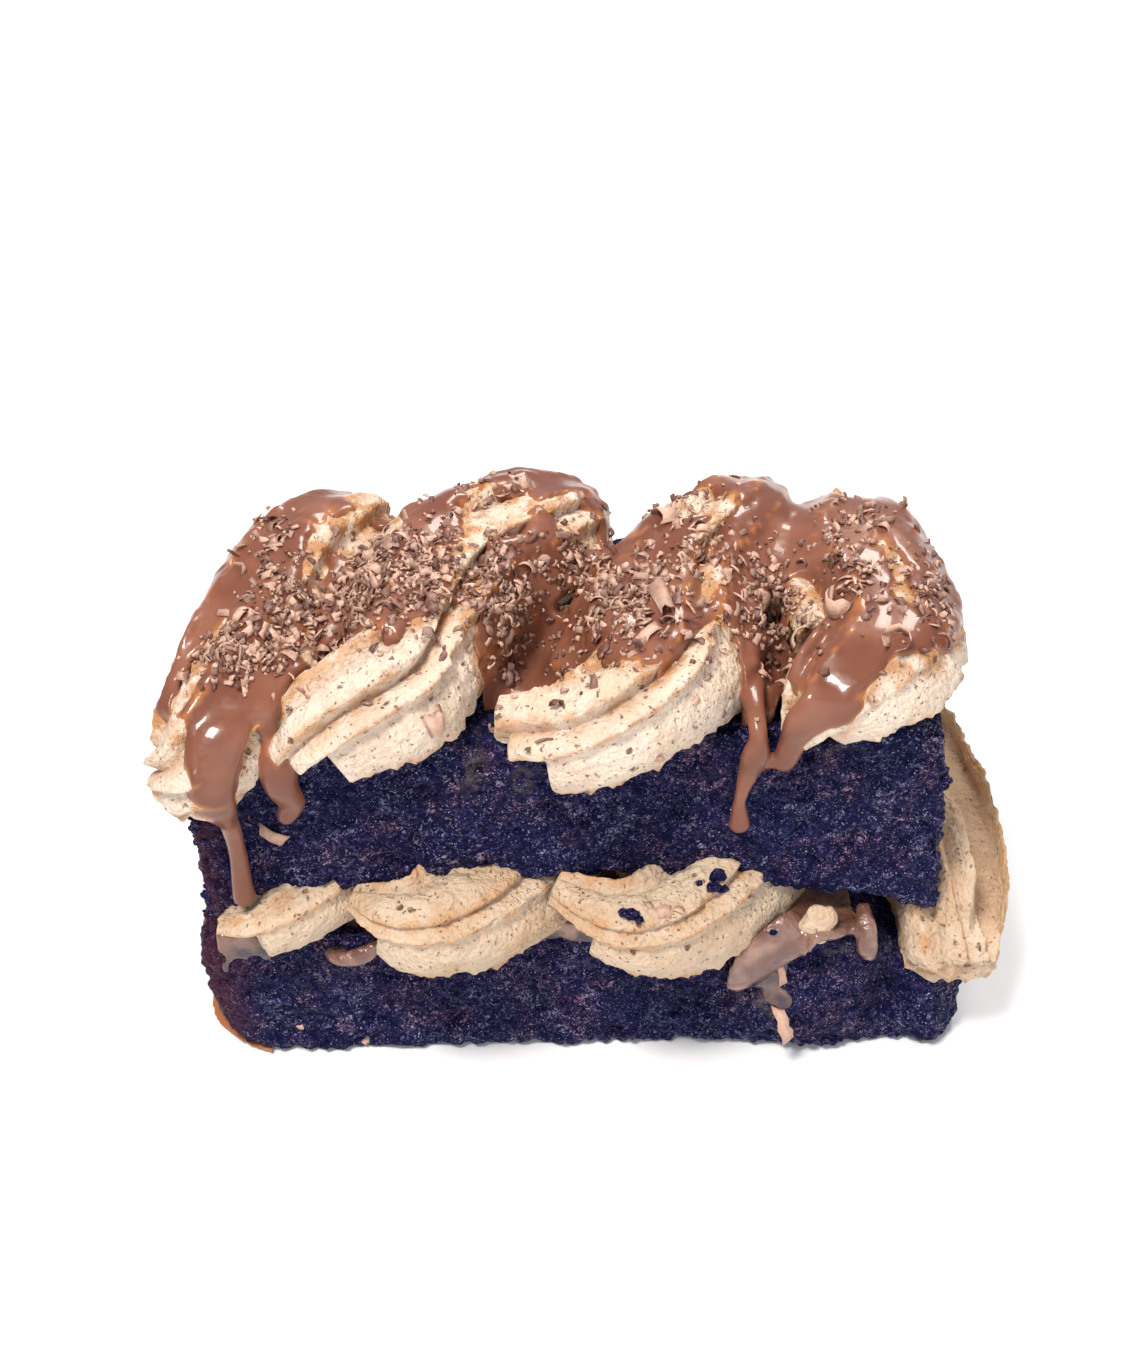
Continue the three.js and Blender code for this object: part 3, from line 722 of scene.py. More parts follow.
# What tints the cream: the value that a vertex carries for it, its share and its colour. The groove
# colour is painted shade, the soaked colour is stain and the crest colour is orange-brown on the ridges
CREAM_STAINS_AND_SHADE = [("groove", 0.7, (0.5, 0.25, 0.11, 1)), ("crest", 0.75, (0.56, 0.27, 0.11, 1)),
                ("soaked", 0.9, (0.48, 0.22, 0.08, 1))]
# Burst bubbles, small and large: how many along a metre, colour inside, and how sparse they are
CREAM_HOLES = [(1150.0, (0.38, 0.2, 0.115, 1), 0.48), (380.0, (0.2, 0.1, 0.06, 1), 0.56)]


def cream_material(name, pale, tan):
    """Whipped custard cream: orange-brown along torn ridges, brown beside the sauce, painted shade in a deep
    groove and painted tan shade in the pressed trough, with burst air bubbles all over."""
    material, tree = new_material(name)
    where = add(tree, "ShaderNodeTexCoord").outputs["Object"]
    colour = blend(tree, mottled(tree, where, 110.0, 4.0, 0.4, 0.66), pale, tan)
    blotch = mottled(tree, where, 330.0, 3.0, 0.36, 0.6)
    for tint_name, share, tint_colour in CREAM_STAINS_AND_SHADE:
        patchy = worked_out(tree, "MULTIPLY", carried(tree, tint_name), blotch)
        colour = blend(tree, worked_out(tree, "MULTIPLY", patchy, share, clamp=True), colour, tint_colour)
    # Painted shade: the inside of the trough pressed into the last rope is made a darker tan
    trough_shade = worked_out(tree, "MULTIPLY", carried(tree, "pressed"), 0.7)
    colour = blend(tree, trough_shade, colour, (0.45, 0.285, 0.17, 1))
    height = noisy(tree, where, 1300.0, 5.0)
    uneven = torn_places(tree, where, 1500.0, 0.0012)
    for spacing, dark, sparse in CREAM_HOLES:
        cells = add(tree, "ShaderNodeTexVoronoi", {"Vector": uneven, "Scale": spacing, "Randomness": 1.0})
        near = mapped(tree, cells.outputs["Distance"], 0.12, 0.24, 1.0, 0.0)
        some = mottled(tree, where, spacing * 0.6, 1.0, sparse, sparse + 0.07)
        hole = worked_out(tree, "MULTIPLY", near, some)
        colour = blend(tree, hole, colour, dark)
        height = worked_out(tree, "SUBTRACT", height, hole)
    finish_material(tree, {"Base Color": colour, "Roughness": 0.66,
                           "Normal": relief(tree, height, 1.0, 0.0009), "Specular IOR Level": 0.35,
                           "Subsurface Weight": 0.15, "Subsurface Radius": (0.003, 0.0018, 0.001),
                           "Subsurface Scale": 1.0})
    return material


def cream_dab():
    """The dab of cream that the knife left on the tongue of custard."""
    bm = bmesh.new()
    bmesh.ops.create_icosphere(bm, subdivisions=5, radius=1)
    ball = vertex_array(bm) * DAB_HALF
    ball *= (1 + layered(ball, DAB_LUMPS, 91))[:, None]
    place(bm, ball + DAB_AT)
    return bm


# The filling's cream is a darker, tanner copy of the topping's: painted shade where it lies under the upper
# sponge
SHADED_CREAM = cream_material("filling_cream", (0.645, 0.49, 0.35, 1), (0.57, 0.39, 0.25, 1))
filling = [piped_rope(rope, FILLING_STEPS, FILLING_DEPTHS, 50 + i) for i, rope in enumerate(FILLING_ROPES)]
filling = join([*filling, cream_dab()])
filling = piece("cream_filling_ropes", filling, SHADED_CREAM, "cream", "filling_cream")

# Upper sponge
# The second sponge, from the same loaf. It arches over the filling and sags at both ends,
# where nothing holds it up.
UPPER_LEFT_X = -61.5
UPPER_RIGHT_X = 49.5
UPPER_TOP_Z = 61.5
ARCH_X = -10.0
ARCH_Z = 35.5
SAG_LEFT_Z = 28.0
SAG_RIGHT_Z = 26.5


def upper_bottom(x, y):
    end_x = np.where(x < ARCH_X, UPPER_LEFT_X, UPPER_RIGHT_X)
    end_z = np.where(x < ARCH_X, SAG_LEFT_Z, SAG_RIGHT_Z)
    return ARCH_Z + (end_z - ARCH_Z) * np.abs((x - ARCH_X) / (end_x - ARCH_X)) ** 2.2


UPPER = {
    "seed": 11, "flat_base": False,
    "left": lambda w, v: UPPER_LEFT_X + 1.5 * (1 - w) ** 2 + 3.5 * v ** 2,
    "right": lambda w: UPPER_RIGHT_X - 2 * w ** 2,
    "front": lambda x, w: FRONT_Y + 0 * x,
    "bottom": upper_bottom,
    "top": lambda x, y: UPPER_TOP_Z + 0 * x,
}
UPPER_SMEARS = [(-20, 56.5, 2.6, 6), (-13, 55, 2.2, 4.5), (12, 61, 3.5, 1.5), (30.5, 59.5, 6, 1.6),
                (-24, 33.5, 6, 1.2), (-5, 35, 5, 1)]
upper_sponge = piece("upper_sponge_crumb", sponge_layer(UPPER), SPONGE, "sponge", "upper_sponge")
stain_crumb(upper_sponge, UPPER_SMEARS, 66, -55, 69)

# Cream on top
# Four more ropes of the same cream. Each starts at the left on the cut face, swirls to the
# right along it and runs back over the sponge.
TOP_STEPS = 170
TOP_DEPTHS = (0.2, 0.32, 0.26, 0.3, 0.3, 0.3)
TOP_ROPES = [
    {"ridges": [(0, -60), (60, 0), (120, 60), (180, 120)], "knee": 0.5, "leaves": (0, 0, 0),
     "rows": [(-60, -33, 56.5, 5, 5), (-58, -33, 62, 7.5, 8), (-53.5, -24, 68, 10, 9),
              (-49.5, -12, 70, 11.5, 9.5), (-45, 1, 71, 11, 9.5), (-39.5, 9, 70.5, 10, 9),
              (-36, 17, 67, 6, 6)]},
    {"ridges": [(-24, -23), (6, 41), (44, 62), (108, 100)], "knee": 0.4, "leaves": (0.145, 0.075, 0.05),
     "rows": [(-48.7, -32.8, 59.4, 3.7, 3.3), (-40.5, -29.8, 64.9, 7.9, 9.4), (-31, -24.4, 67.9, 10.7, 11),
              (-27.7, -16, 70.5, 11.5, 11), (-23, -1, 71, 15, 10.5), (-11, 9, 71, 13.5, 10),
              (-3, 17, 68, 7, 7)]},
    {"ridges": [(-42, -38), (-5, 54), (38, 76), (150, 112)], "knee": 0.4, "leaves": (0.112, 0.045, 0.02),
     "rows": [(-17, -29.7, 63.6, 4.7, 8), (-5.7, -31.8, 65.5, 8.1, 8.9), (4.6, -26.8, 69.1, 10.7, 8.9),
              (7, -16.8, 67.5, 15.5, 10.8), (11, -4, 70.5, 13.5, 10), (20, 7, 71, 10.5, 10),
              (24.5, 17, 68, 7, 7)]},
    {"ridges": [(-33, -4), (11, 45), (70, 105), (110, 140)], "knee": 0.4, "leaves": (0.085, 0, 0),
     "depths": (0.08, 0.26, 0.26, 0.3, 0.3, 0.3),
     "rows": [(25.5, -31.8, 63.3, 2.5, 3.7), (29.8, -29.1, 67.9, 7.9, 7.5), (36.9, -23.1, 69.9, 12, 9.3),
              (38, -12, 69.7, 13.5, 9.7), (36, -1, 70, 14.5, 9.5), (38, 8, 69.5, 11, 8.5),
              (39, 16, 67, 6, 6)]},
]
CREAM = cream_material("topping_cream", (0.75, 0.61, 0.49, 1), (0.67, 0.51, 0.375, 1))
top_ropes = join([piped_rope(rope, TOP_STEPS, TOP_DEPTHS, 80 + i) for i, rope in enumerate(TOP_ROPES)])
top_cream = piece("cream_topping_ropes", top_ropes, CREAM, "cream", "top_cream")

# Chocolate sauce
# Glossy milk chocolate sauce poured over the cream. It fills the grooves, leaves the torn
# ridges bare and runs over the cut face in drips that end in beads. A thin film of it lies
# round the left foot.
POUR_TILT = math.radians(30)
POUR = np.array([0, math.sin(POUR_TILT), -math.cos(POUR_TILT)])
SLOPE = np.array([0, math.cos(POUR_TILT), math.sin(POUR_TILT)])
ACROSS = np.array([1.0, 0, 0])
POUR_CELL = 0.55
POUR_LOW = (-68.0, -6.0)
POUR_HIGH = (54.0, 58.0)
POUR_DEEP = 1.7
# How far the sauce levels out grooves and how far its top is smoothed, in cells, and the lumps
# of its edge as height, size and step in seed
POUR_BRIDGE = 4
POUR_BLUR = 2.2
POUR_EDGE = ((1.3, 4, 0), (0.6, 1.6, 1))
# How high it stands against the smoothed cream where the cream is bare and where it is covered,
# how thick it is over the cream itself, and how much thinner towards its edge
COVER_BARE = -1.8
COVER_FULL = 0.9
COAT_THICK = 0.45
EDGE_THINNER = 1.5
# It ends where it is this far under the cream or outside its outline
ENDS_UNDER = 0.7
ENDS_OUTSIDE = 1.4
# How low the poured sauce lies at the front, and how far above the sponge it stops farther back
SAUCE_LOWEST_Z = 57.5
SAUCE_OVER_SPONGE = 1.5
# A place that no ray meets, and how far back the rays start
NOTHING = -1000.0
RAY_START = 300.0
# How far forward the sauce reaches: x and the place on the slope
SAUCE_FRONT = [(-68, 22), (-64, 9), (-59, 5), (-58.5, -4), (-52, -4), (-51, 5), (-47, 7), (-44, 13),
               (-41, 18), (-34, 19), (-30, 17), (-26, 20), (-22, 24), (-20, 18), (-19, 14), (-15, 13.5),
               (-13, 14), (-9, 15), (-3, 14), (2, 12.5), (6, 10.5), (9.5, 15), (13, 19), (16, 21),
               (17.5, 18), (18.5, 8), (20.5, 8), (21.5, 9.5), (24, 9.5), (25.5, 6.5), (28, 5.5), (31.5, 5),
               (35.5, 8), (37.5, 11.5), (43, 12.5), (47.5, 15), (50, 20), (52, 23)]
# Ridges left bare behind that line: x, place on the slope, half width, half length, turn in degrees
BARE_RIDGES = [(-35.5, 39.5, 4.5, 4, 0), (-34.5, 49, 3, 4.5, 0), (-15.5, 42, 4.2, 4.5, 0),
               (-20.5, 30, 1.2, 6, 0), (-4, 42.5, 3.2, 4.2, 20), (14, 44, 5, 3.5, -20),
               (14.5, 33, 1.5, 9, -10), (41.2, 29, 0.9, 6, 5), (28.3, 25.5, 1.6, 3.5, 0), (39, 50, 3, 2.5, 0),
               (-42, 33, 0.9, 6.5, -3), (-42.5, 19, 0.8, 3.5, 0), (-19.6, 36, 1.3, 7, 0),
               (-58, 14, 0.9, 5, -20)]
# The film that ran down behind the slice and lies round its left foot, in the same five numbers
FOOT_FILM = [(-62.6, -10, 0.4, 0.8, 0.35), (-62.7, -17, 0.4, 1.1, 0.4), (-61.6, -21, 0.4, 1.2, 0.45),
             (-58.8, -24.6, 0.4, 1.1, 0.4), (-55.6, -27.2, 0.4, 0.9, 0.4), (-53, -28.6, 0.4, 0.6, 0.35)]
FOOT_FILM_TOP_Z = 3.0
# The drips from the cream down: x, y, z, half width and half thickness
DRIPS = [
    [(-52, -27, 72, 4, 1.8), (-54.5, -34.7, 69.5, 4.3, 1.8), (-56, -38.6, 64, 3.6, 1.8),
     (-55.7, -37.3, 58.5, 3.1, 1.8), (-54.9, -33, 52, 1.6, 1.5), (-54.4, -31.5, 45, 1.4, 1.3),
     (-54.2, -31.6, 36, 1.8, 1.7)],
    [(-44.5, -25, 66, 3, 1.5), (-47, -33, 64, 3.2, 2), (-47, -33.3, 59, 2.6, 2), (-46, -31.6, 54, 2.1, 1.4),
     (-47, -31.4, 51, 1.4, 1.2)],
    [(19.2, -20, 67, 3, 1.5), (19.6, -29, 67, 1.5, 1.2), (19.9, -32.4, 65, 1.4, 1.2),
     (19.6, -32.6, 62, 2.1, 1.4), (18.9, -31.6, 57.5, 1.6, 1.2), (18, -31.2, 52.5, 1, 1),
     (18.1, -31.6, 48, 1.7, 1.5)],
    [(34.5, -26, 72.5, 4.5, 1.8), (29.6, -33.6, 72, 4.2, 1.9), (26.2, -34.2, 69, 3.3, 1.8),
     (24.8, -33.2, 65, 2.2, 1.5), (24.1, -32.4, 61.2, 1.9, 1.4), (23.8, -32, 59.6, 1.6, 1.4)],
    [(24, -32, 61, 1.4, 1.1), (22, -31.8, 60, 1.2, 1), (19.4, -31.8, 59.8, 1.4, 1.1)],
]


def looking_down(tree, x, slope):
    """What a ray along the pour meets at the place (x, slope): the point and its normal."""
    start = ACROSS * x + SLOPE * slope - POUR * RAY_START
    return tree.ray_cast(Vector(start), Vector(POUR))[:2]


def shifted(field, i, j):
    """The field moved by whole cells, its border repeated."""
    edge = max(abs(i), abs(j), 1)
    padded = np.pad(field, edge, mode="edge")
    rows, columns = field.shape
    return padded[edge + i:edge + i + rows, edge + j:edge + j + columns]


def spread(field, cells, choose):
    """Each cell takes the highest or lowest value within a number of cells."""
    result = field
    for i in range(-cells, cells + 1):
        for j in range(-cells, cells + 1):
            if i * i + j * j <= cells * cells:
                result = choose(result, shifted(field, i, j))
    return result


def blurred(field, weight, sigma):
    """The field averaged over its neighbours, counting only cells with weight."""
    span = range(-int(3 * sigma), int(3 * sigma) + 1)
    total, share = field * weight, weight.astype(float)
    for i, j in ((1, 0), (0, 1)):
        total, share = (sum(math.exp(-(k / sigma) ** 2 / 2) * shifted(summed, i * k, j * k) for k in span)
                        for summed in (total, share))
    return total / np.maximum(share, 1e-6)


def sauce_margin(x, slope):
    """How far inside the sauce's outline a place is, in millimetres; less than 0 is bare."""
    front = np.interp(x, *np.array(SAUCE_FRONT, float).T)
    margin = slope - front
    for middle_x, middle_slope, wide, long, turn in BARE_RIDGES:
        c, s = math.cos(math.radians(turn)), math.sin(math.radians(turn))
        across, down = x - middle_x, slope - middle_slope
        ring = np.hypot((c * across + s * down) / wide, (c * down - s * across) / long)
        margin = np.minimum(margin, (ring - 1) * min(wide, long))
    return margin


def poured_sheet(tree):
    """The sauce that lies on the cream: level in the grooves, and thin where it runs out."""
    columns = round((POUR_HIGH[0] - POUR_LOW[0]) / POUR_CELL)
    rows = round((POUR_HIGH[1] - POUR_LOW[1]) / POUR_CELL)
    bm = bmesh.new()
    bmesh.ops.create_grid(bm, x_segments=columns, y_segments=rows, size=0.5)
    u, v, _ = (vertex_array(bm) + 0.5).T
    i, j = np.rint(v * rows).astype(int), np.rint(u * columns).astype(int)
    xs = POUR_LOW[0] + POUR_CELL * np.arange(columns + 1)
    slopes = POUR_LOW[1] + POUR_CELL * np.arange(rows + 1)
    height = np.full((rows + 1, columns + 1), NOTHING)
    for row, slope in enumerate(slopes):
        for column, x in enumerate(xs):
            point = looking_down(tree, x, slope)[0]
            if point and point.z > (SAUCE_LOWEST_Z if point.y < 0 else UPPER_TOP_Z + SAUCE_OVER_SPONGE):
                height[row, column] = -np.dot(point, POUR)
    met = height > NOTHING
    level = np.where(met, height, height[met].min())
    filled = spread(spread(level, POUR_BRIDGE, np.maximum), POUR_BRIDGE, np.minimum)
    level = blurred(filled, met, POUR_BLUR)
    grid_x, grid_slope = np.meshgrid(xs, slopes)
    flat = np.stack([grid_x, grid_slope, 0 * grid_x], axis=-1).reshape(-1, 3)
    margin = sauce_margin(grid_x, grid_slope) + layered(flat, POUR_EDGE, 71).reshape(grid_x.shape)
    cover = COVER_BARE + (COVER_FULL - COVER_BARE) * ramp(-1.0, 1.2, margin)
    cover += 0.25 * lumps(flat, 6, 73).reshape(grid_x.shape)
    coat = COAT_THICK + 0.5 * lumps(flat, 5, 74).reshape(grid_x.shape) - EDGE_THINNER * ramp(1.8, 0.2, margin)
    steep = np.clip(np.hypot(1, np.hypot(*np.gradient(level, POUR_CELL))), 1, 3)
    deepest = (POUR_DEEP + 0.3 + 4 * ramp(42, 34, grid_slope)) * steep
    sauce = np.minimum(np.maximum(level + cover, height + coat * steep), height + deepest)
    shown = met & (sauce > height - ENDS_UNDER) & (margin > -ENDS_OUTSIDE)
    points = (ACROSS * grid_x[..., None] + SLOPE * grid_slope[..., None] - POUR * sauce[..., None])
    place(bm, points[i, j])
    below = carry(bm, "below", POUR_DEEP * steep[i, j])
    trim(bm, shown[i, j])
    thicken(bm, lambda vertex: POUR * vertex[below])
    return bm


def sauce_material():
    material, tree = new_material("chocolate_sauce")
    where = add(tree, "ShaderNodeTexCoord").outputs["Object"]
    milkier = mottled(tree, where, 90.0, 2.0, 0.4, 0.7)
    body = blend(tree, milkier, (0.172, 0.059, 0.034, 1), (0.245, 0.096, 0.057, 1))
    colour = blend(tree, carried(tree, "thin"), body, (0.36, 0.13, 0.045, 1))
    ripple = relief(tree, noisy(tree, where, 260.0, 2.0), 0.25, 0.001)
    finish_material(tree, {"Base Color": colour, "Roughness": 0.3,
                           "Normal": ripple, "Specular IOR Level": 0.2,
                           "Coat Weight": 0.3, "Coat Roughness": 0.05,
                           "Subsurface Weight": 0.1, "Subsurface Radius": (0.002, 0.001, 0.0006),
                           "Subsurface Scale": 1.0})
    return material


SAUCE_VOXEL = 0.5
SAUCE = sauce_material()
bare = surface_of([top_cream, upper_sponge])
sauce = melted(join([poured_sheet(bare), *map(run_down, [*DRIPS, FOOT_FILM])]), SAUCE_VOXEL, 3)
carry_thinness(sauce, bare, 0.45, 0.1, FOOT_FILM_TOP_Z)
skin = corners_of(top_cream)
beside = sauce_margin(skin[:, 0], skin @ SLOPE)
edge_band = ramp(-3.5, -0.5, beside) * ramp(3.0, 0.5, beside)
paint(top_cream, "soaked", edge_band * (skin[:, 2] > SAUCE_LOWEST_Z))
sauce = piece("chocolate_sauce", sauce, SAUCE, "custard", "top_cream")

# Shaved chocolate
# Flakes, curls and dust scraped from a bar of milk chocolate and thrown on in heaps before
# the sauce set. They lie at every angle, thickest in the grooves.
FLAKE_THICK = 0.22
FLAKE_SIZES = (0.3, 0.45, 0.6, 0.8, 1.0, 1.3, 1.7, 2.3)
FLAKE_BENDS = (0.2, 0.4, 0.6, 1.0, 1.6, 2.4, 3.4, 4.6)
# Above this bend a flake is a curl: it has more cells, and one in a heap is made from a longer strip
CURL_BEND = 2
CURL_LONGER = 1.8
# How unevenly a flake is torn, how far its tone varies within it, how far it is tipped in a heap
# in radians, and how high it lies there
FLAKE_TORN = 0.35
FLAKE_TONES = 0.12
TIPPED = 0.6
HEAP_LIFT = (0.05, 0.7)
# How much a heap draws together, and how deep a larger curl sits in what it lies on
HEAP_CLOSER = 1.8
CURL_SUNK = 0.2
# Heaps: x, place on the slope, half width, half length, flakes
HEAPS = [
    (-52.5, 15.5, 5.5, 4, 220), (-45.5, 23, 5, 8, 260), (-35.5, 28, 4, 9, 320), (-27, 29, 5.5, 9, 420),
    (-16, 27, 4.5, 8, 280), (-5, 34, 5, 6, 120), (2.5, 25, 6.5, 8, 220), (13, 34, 7, 5, 80),
    (23, 27, 5, 7, 190), (34, 29, 5, 9, 110), (45, 25, 4.5, 9, 120), (-20, 47, 10, 6, 60),
    (38, 41, 8, 5, 50), (-48, 36, 5, 9, 70), (10, 46, 10, 5, 60), (0, 20, 30, 12, 320),
]
# Larger curls: x, place on the slope, length, breadth, bend, turns about x, y and z
CURLS = [
    (39.9, 15.4, 9.5, 2, 5.4, 1.25, 0, 2.6), (7.6, 22.8, 5, 5.5, 4.2, 0, 0.2, 1.5),
    (-25.4, 6.2, 6, 3.4, 4.4, 0.2, 0, 0.1), (31.4, 20.4, 7, 2.6, 3.6, 0.9, 0.2, 0.5),
    (28, 19, 5, 2, 2.6, 0, 0.4, 2.4), (-49.2, -1.9, 6.5, 1.5, 1.9, 0.1, 0, -0.6),
    (9, 40, 4.6, 3, 3.4, 0.2, 0.1, 1.2), (5, 17, 4.5, 1.5, 1.2, 0.3, 0, 2.6),
    (26, -18.4, 4.2, 1.1, 0.5, 0, 0, 1.75), (27.4, -23.8, 8.5, 2, 2.4, 0.5, 0, 2.1),
    (-48.4, -22, 1.3, 1, 0.6, 0, 0, 0.4), (-38.3, -23.4, 1.4, 1, 0.6, 0, 0, 0.8),
    (7, -14.2, 2.2, 1.6, 0.9, 0.2, 0, 0.4), (9.2, -13.8, 1.8, 1.3, 0.9, 0.3, 0.2, 2),
    (5, -13, 1.5, 1, 1.6, 0, 0, 1),
]


def flake(draw, long, wide, bend, tone):
    """A shaving: a strip bent to an arc, its ends torn; tone goes from 0, dark, to 1, pale."""
    bm = bmesh.new()
    bmesh.ops.create_grid(bm, x_segments=7 if bend > CURL_BEND else 3, y_segments=1, size=0.5)
    radius = long / bend
    for vertex in bm.verts:
        x, y, _ = vertex.co
        ragged = 1 + draw.uniform(-FLAKE_TORN, FLAKE_TORN)
        reach = radius * (1 + 0.3 * y)
        vertex.co = (reach * math.sin(bend * x), wide * y * ragged, reach * (math.cos(bend * x) - 1))
    thicken(bm, lambda vertex: (0, 0, -FLAKE_THICK))
    bmesh.ops.recalc_face_normals(bm, faces=bm.faces)
    carry(bm, "tone", [tone + draw.uniform(-FLAKE_TONES, FLAKE_TONES) for _ in bm.verts])
    return bm


def shaving_material():
    material, tree = new_material("shaved_chocolate")
    where = add(tree, "ShaderNodeTexCoord").outputs["Object"]
    pale = worked_out(tree, "MULTIPLY_ADD", noisy(tree, where, 900.0, 2.0), 0.5, carried(tree, "tone"))
    share = mapped(tree, pale, 0.35, 1.2)
    colour = blend(tree, share, (0.13, 0.048, 0.032, 1), (0.62, 0.385, 0.285, 1))
    grain = relief(tree, noisy(tree, where, 2500.0, 2.0), 0.5, 0.0003)
    finish_material(tree, {"Base Color": colour, "Roughness": 0.5, "Normal": grain})
    return material


def laid(bm, point, normal, lift, turns):
    """Moves a flake to a place on a skin, a little above it and turned."""
    lie = normal.to_track_quat("Z", "Y").to_matrix() @ Euler(turns).to_matrix()
    move = Matrix.Translation(point + normal * lift) @ lie.to_4x4()
    bmesh.ops.transform(bm, matrix=move, verts=bm.verts)
    return bm


def scattered_shavings(tree):
    """All the heaps, each flake laid where a ray along the pour meets the cream or sauce."""
    draw = random.Random(41)
    parts = []
    for x, slope, wide, long, count in HEAPS:
        for _ in range(count):
            across = draw.gauss(x, wide / HEAP_CLOSER)
            point, normal = looking_down(tree, across, draw.gauss(slope, long / HEAP_CLOSER))
            size = draw.choice(FLAKE_SIZES)
            bend = draw.choice(FLAKE_BENDS)
            turns = (draw.gauss(0, TIPPED), draw.gauss(0, TIPPED), draw.uniform(0, 2 * math.pi))
            lift = draw.uniform(*HEAP_LIFT)
            strip = size * (CURL_LONGER if bend > CURL_BEND else 1)
            breadth = 0.32 * size + 0.3
            bm = flake(draw, strip, breadth, bend, draw.random())
            if point and point.z > UPPER_TOP_Z + 2:
                parts.append(laid(bm, point, normal, lift, turns))
    for x, slope, long, wide, bend, *turns in CURLS:
        point, normal = looking_down(tree, x, slope)
        bm = flake(draw, long, wide, bend, draw.uniform(0.6, 1))
        turned = Euler(turns).to_matrix()
        lift = -min((turned @ v.co).z for v in bm.verts) - CURL_SUNK
        parts.append(laid(bm, point, normal, lift, turns))
    return join(parts)


SHAVINGS = shaving_material()
dressed = surface_of([top_cream, upper_sponge, sauce, lower_sponge, filling, custard])
piece("chocolate_shavings", scattered_shavings(dressed), SHAVINGS, "custard", "top_cream")

# Loose crumbs
# Bits of sponge that broke off as the slice was cut: along the foot and the torn edges of
# both sponges, and a few that fell on the cream.
CRUMB_COUNT = 420
CRUMB_SIZES = (0.5, 0.7, 0.9, 1.2, 1.7)
# How far a crumb's corners are pulled about, and how flat it is
CRUMB_TORN = (0.78, 1.2)
CRUMB_FLAT = (0.6, 1)
# How near two of a sponge's outer faces a crumb lies, and how far it is lifted off them; one that
# fell is lifted by that share of its size
CRUMB_EDGE = 2.5
CRUMB_LIFT = 0.3
CRUMB_TOP_Z = UPPER_TOP_Z - 3
# x, place on the slope and size of crumbs on the cream, the custard and the lower sponge
FALLEN = [(2.2, -14.9, 2.6), (1.1, -14.3, 1.6), (3.4, -15.6, 1.4), (14.6, -10.6, 2.4), (16, -10.2, 2),
          (15.4, -9, 2.6), (12.5, -9.6, 1.2), (24, -15, 1.2), (31, -18, 1.6), (28.5, -20, 1.4),
          (21, -21, 1.3)]


def nugget(draw, size):
    """A torn bit of crumb: a ball with its corners pulled about."""
    bm = bmesh.new()
    bmesh.ops.create_icosphere(bm, subdivisions=2, radius=size / 2)
    for vertex in bm.verts:
        vertex.co *= draw.uniform(*CRUMB_TORN)
    bmesh.ops.scale(bm, vec=(1, draw.uniform(*CRUMB_FLAT), draw.uniform(*CRUMB_FLAT)), verts=bm.verts)
    return bm


def scattered_crumbs(sponges, tree):
    """Nuggets on the edges of the sponges, and those that fell."""
    draw = random.Random(43)
    edges = []
    for skin in map(corners_of, sponges):
        low, high = skin.min(axis=0) + CRUMB_EDGE, skin.max(axis=0) - CRUMB_EDGE
        outer = (skin < low).sum(axis=1) + (skin > high).sum(axis=1) > 1
        edges += [Vector(p) for p in skin[outer & (skin[:, 2] < CRUMB_TOP_Z)]]
    bits = [(nugget(draw, draw.choice(CRUMB_SIZES)), draw.choice(edges), 1) for _ in range(CRUMB_COUNT)]
    bits += [(nugget(draw, size), looking_down(tree, x, slope)[0], size) for x, slope, size in FALLEN]
    for bm, at, share in bits:
        bmesh.ops.translate(bm, vec=at + Vector((0, 0, CRUMB_LIFT * share)), verts=bm.verts)
    return join(bm for bm, _, _ in bits)


crumbs = scattered_crumbs([lower_sponge, upper_sponge], dressed)
piece("loose_crumbs", crumbs, SPONGE, "sponge", "upper_sponge")

# Table
# A plain pale surface under the slice, which is not part of it, with soft light from a
# window behind at the right, a lamp over the left front and a wide fill from the front.
FLOOR_HALF = 1.2
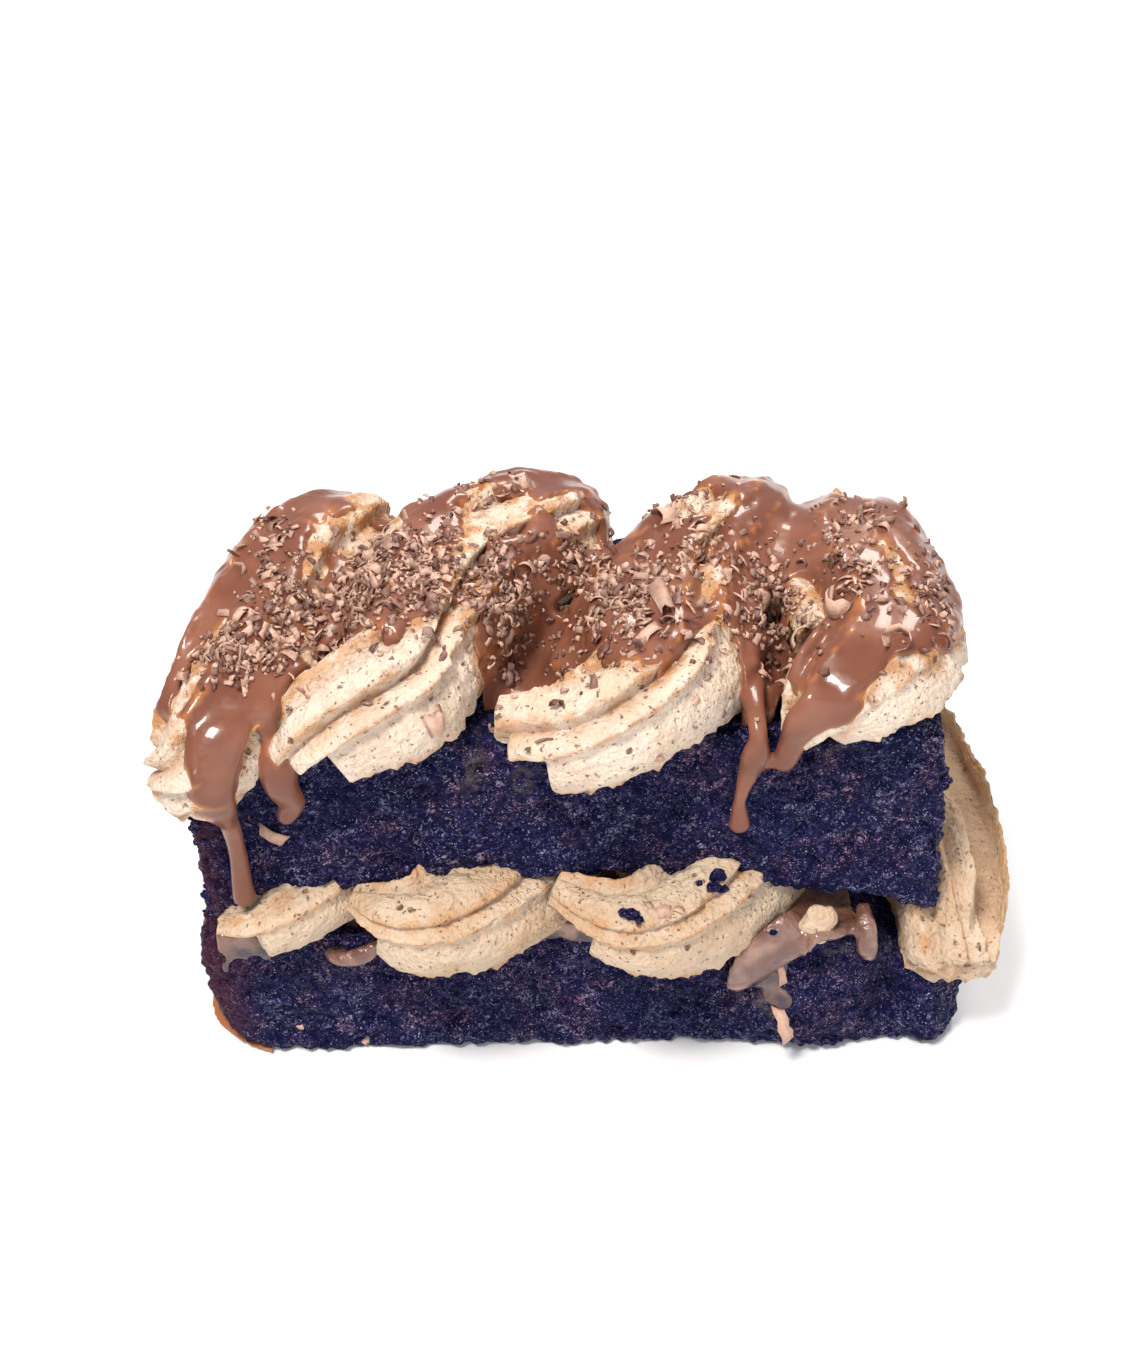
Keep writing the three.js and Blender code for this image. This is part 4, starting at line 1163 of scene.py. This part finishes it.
# How far the table lies below the slice, in millimetres, so that the two never share a face
FLOOR_BELOW = 0.2
floor_bm = bmesh.new()
bmesh.ops.create_grid(floor_bm, x_segments=1, y_segments=1, size=FLOOR_HALF)
floor = set_out("table_top", mesh_of(floor_bm, "table_top"))
floor.location.z = -FLOOR_BELOW * MM
FLOOR, floor_tree = new_material("pale_table")
finish_material(floor_tree, {"Base Color": (0.86, 0.86, 0.87, 1), "Roughness": 0.7})
floor.data.materials.append(FLOOR)
# The point that the lamps face, in metres
LIT_POINT = (0, 0, 0.04)


def soft_light(name, size, power, colour, position):
    """A square softbox that faces the slice."""
    light = bpy.data.lights.new(name, "AREA")
    light.shape = "SQUARE"
    light.size = size
    light.energy = power
    light.color = colour
    holder = set_out(name, light)
    holder.location = position
    aim = Vector(LIT_POINT) - holder.location
    holder.rotation_euler = aim.to_track_quat("-Z", "Y").to_euler()


soft_light("ceiling_lamp", 0.22, 9.2, (1.0, 0.96, 0.9), (-0.25, -0.35, 0.85))
soft_light("window", 0.3, 6.0, (1.0, 0.95, 0.88), (0.25, 0.6, 0.7))
soft_light("front_fill", 1.2, 6.4, (0.97, 0.98, 1.0), (0.3, -1.0, 0.35))
world = bpy.data.worlds.new("studio")
world.use_nodes = True
bpy.context.scene.world = world
bpy.context.scene.view_settings.view_transform = "Standard"
sky = world.node_tree.nodes["Background"]
sky.inputs["Color"].default_value = (0.82, 0.88, 1.0, 1)
sky.inputs["Strength"].default_value = 0.42

# Camera
# It stands where the photographer stood: a little above the slice, looking down on the cut
# face, with the same field of view.
PHOTO_HEIGHT_PX = 1346
FOCAL_PX = 2200
SENSOR_MM = 36
CAMERA_AT = (-15.5, -270.5, 257.3)
CAMERA_PITCH = math.radians(37.15)
CAMERA_TURN = math.radians(1.93)
camera_data = bpy.data.cameras.new("photo_camera")
camera_data.sensor_width = SENSOR_MM
camera_data.lens = FOCAL_PX * SENSOR_MM / PHOTO_HEIGHT_PX
camera_data.clip_start = 0.01
camera = set_out("photo_camera", camera_data)
camera.location = Vector(CAMERA_AT) * MM
camera.rotation_euler = (math.pi / 2 - CAMERA_PITCH, 0, -CAMERA_TURN)
bpy.context.scene.camera = camera
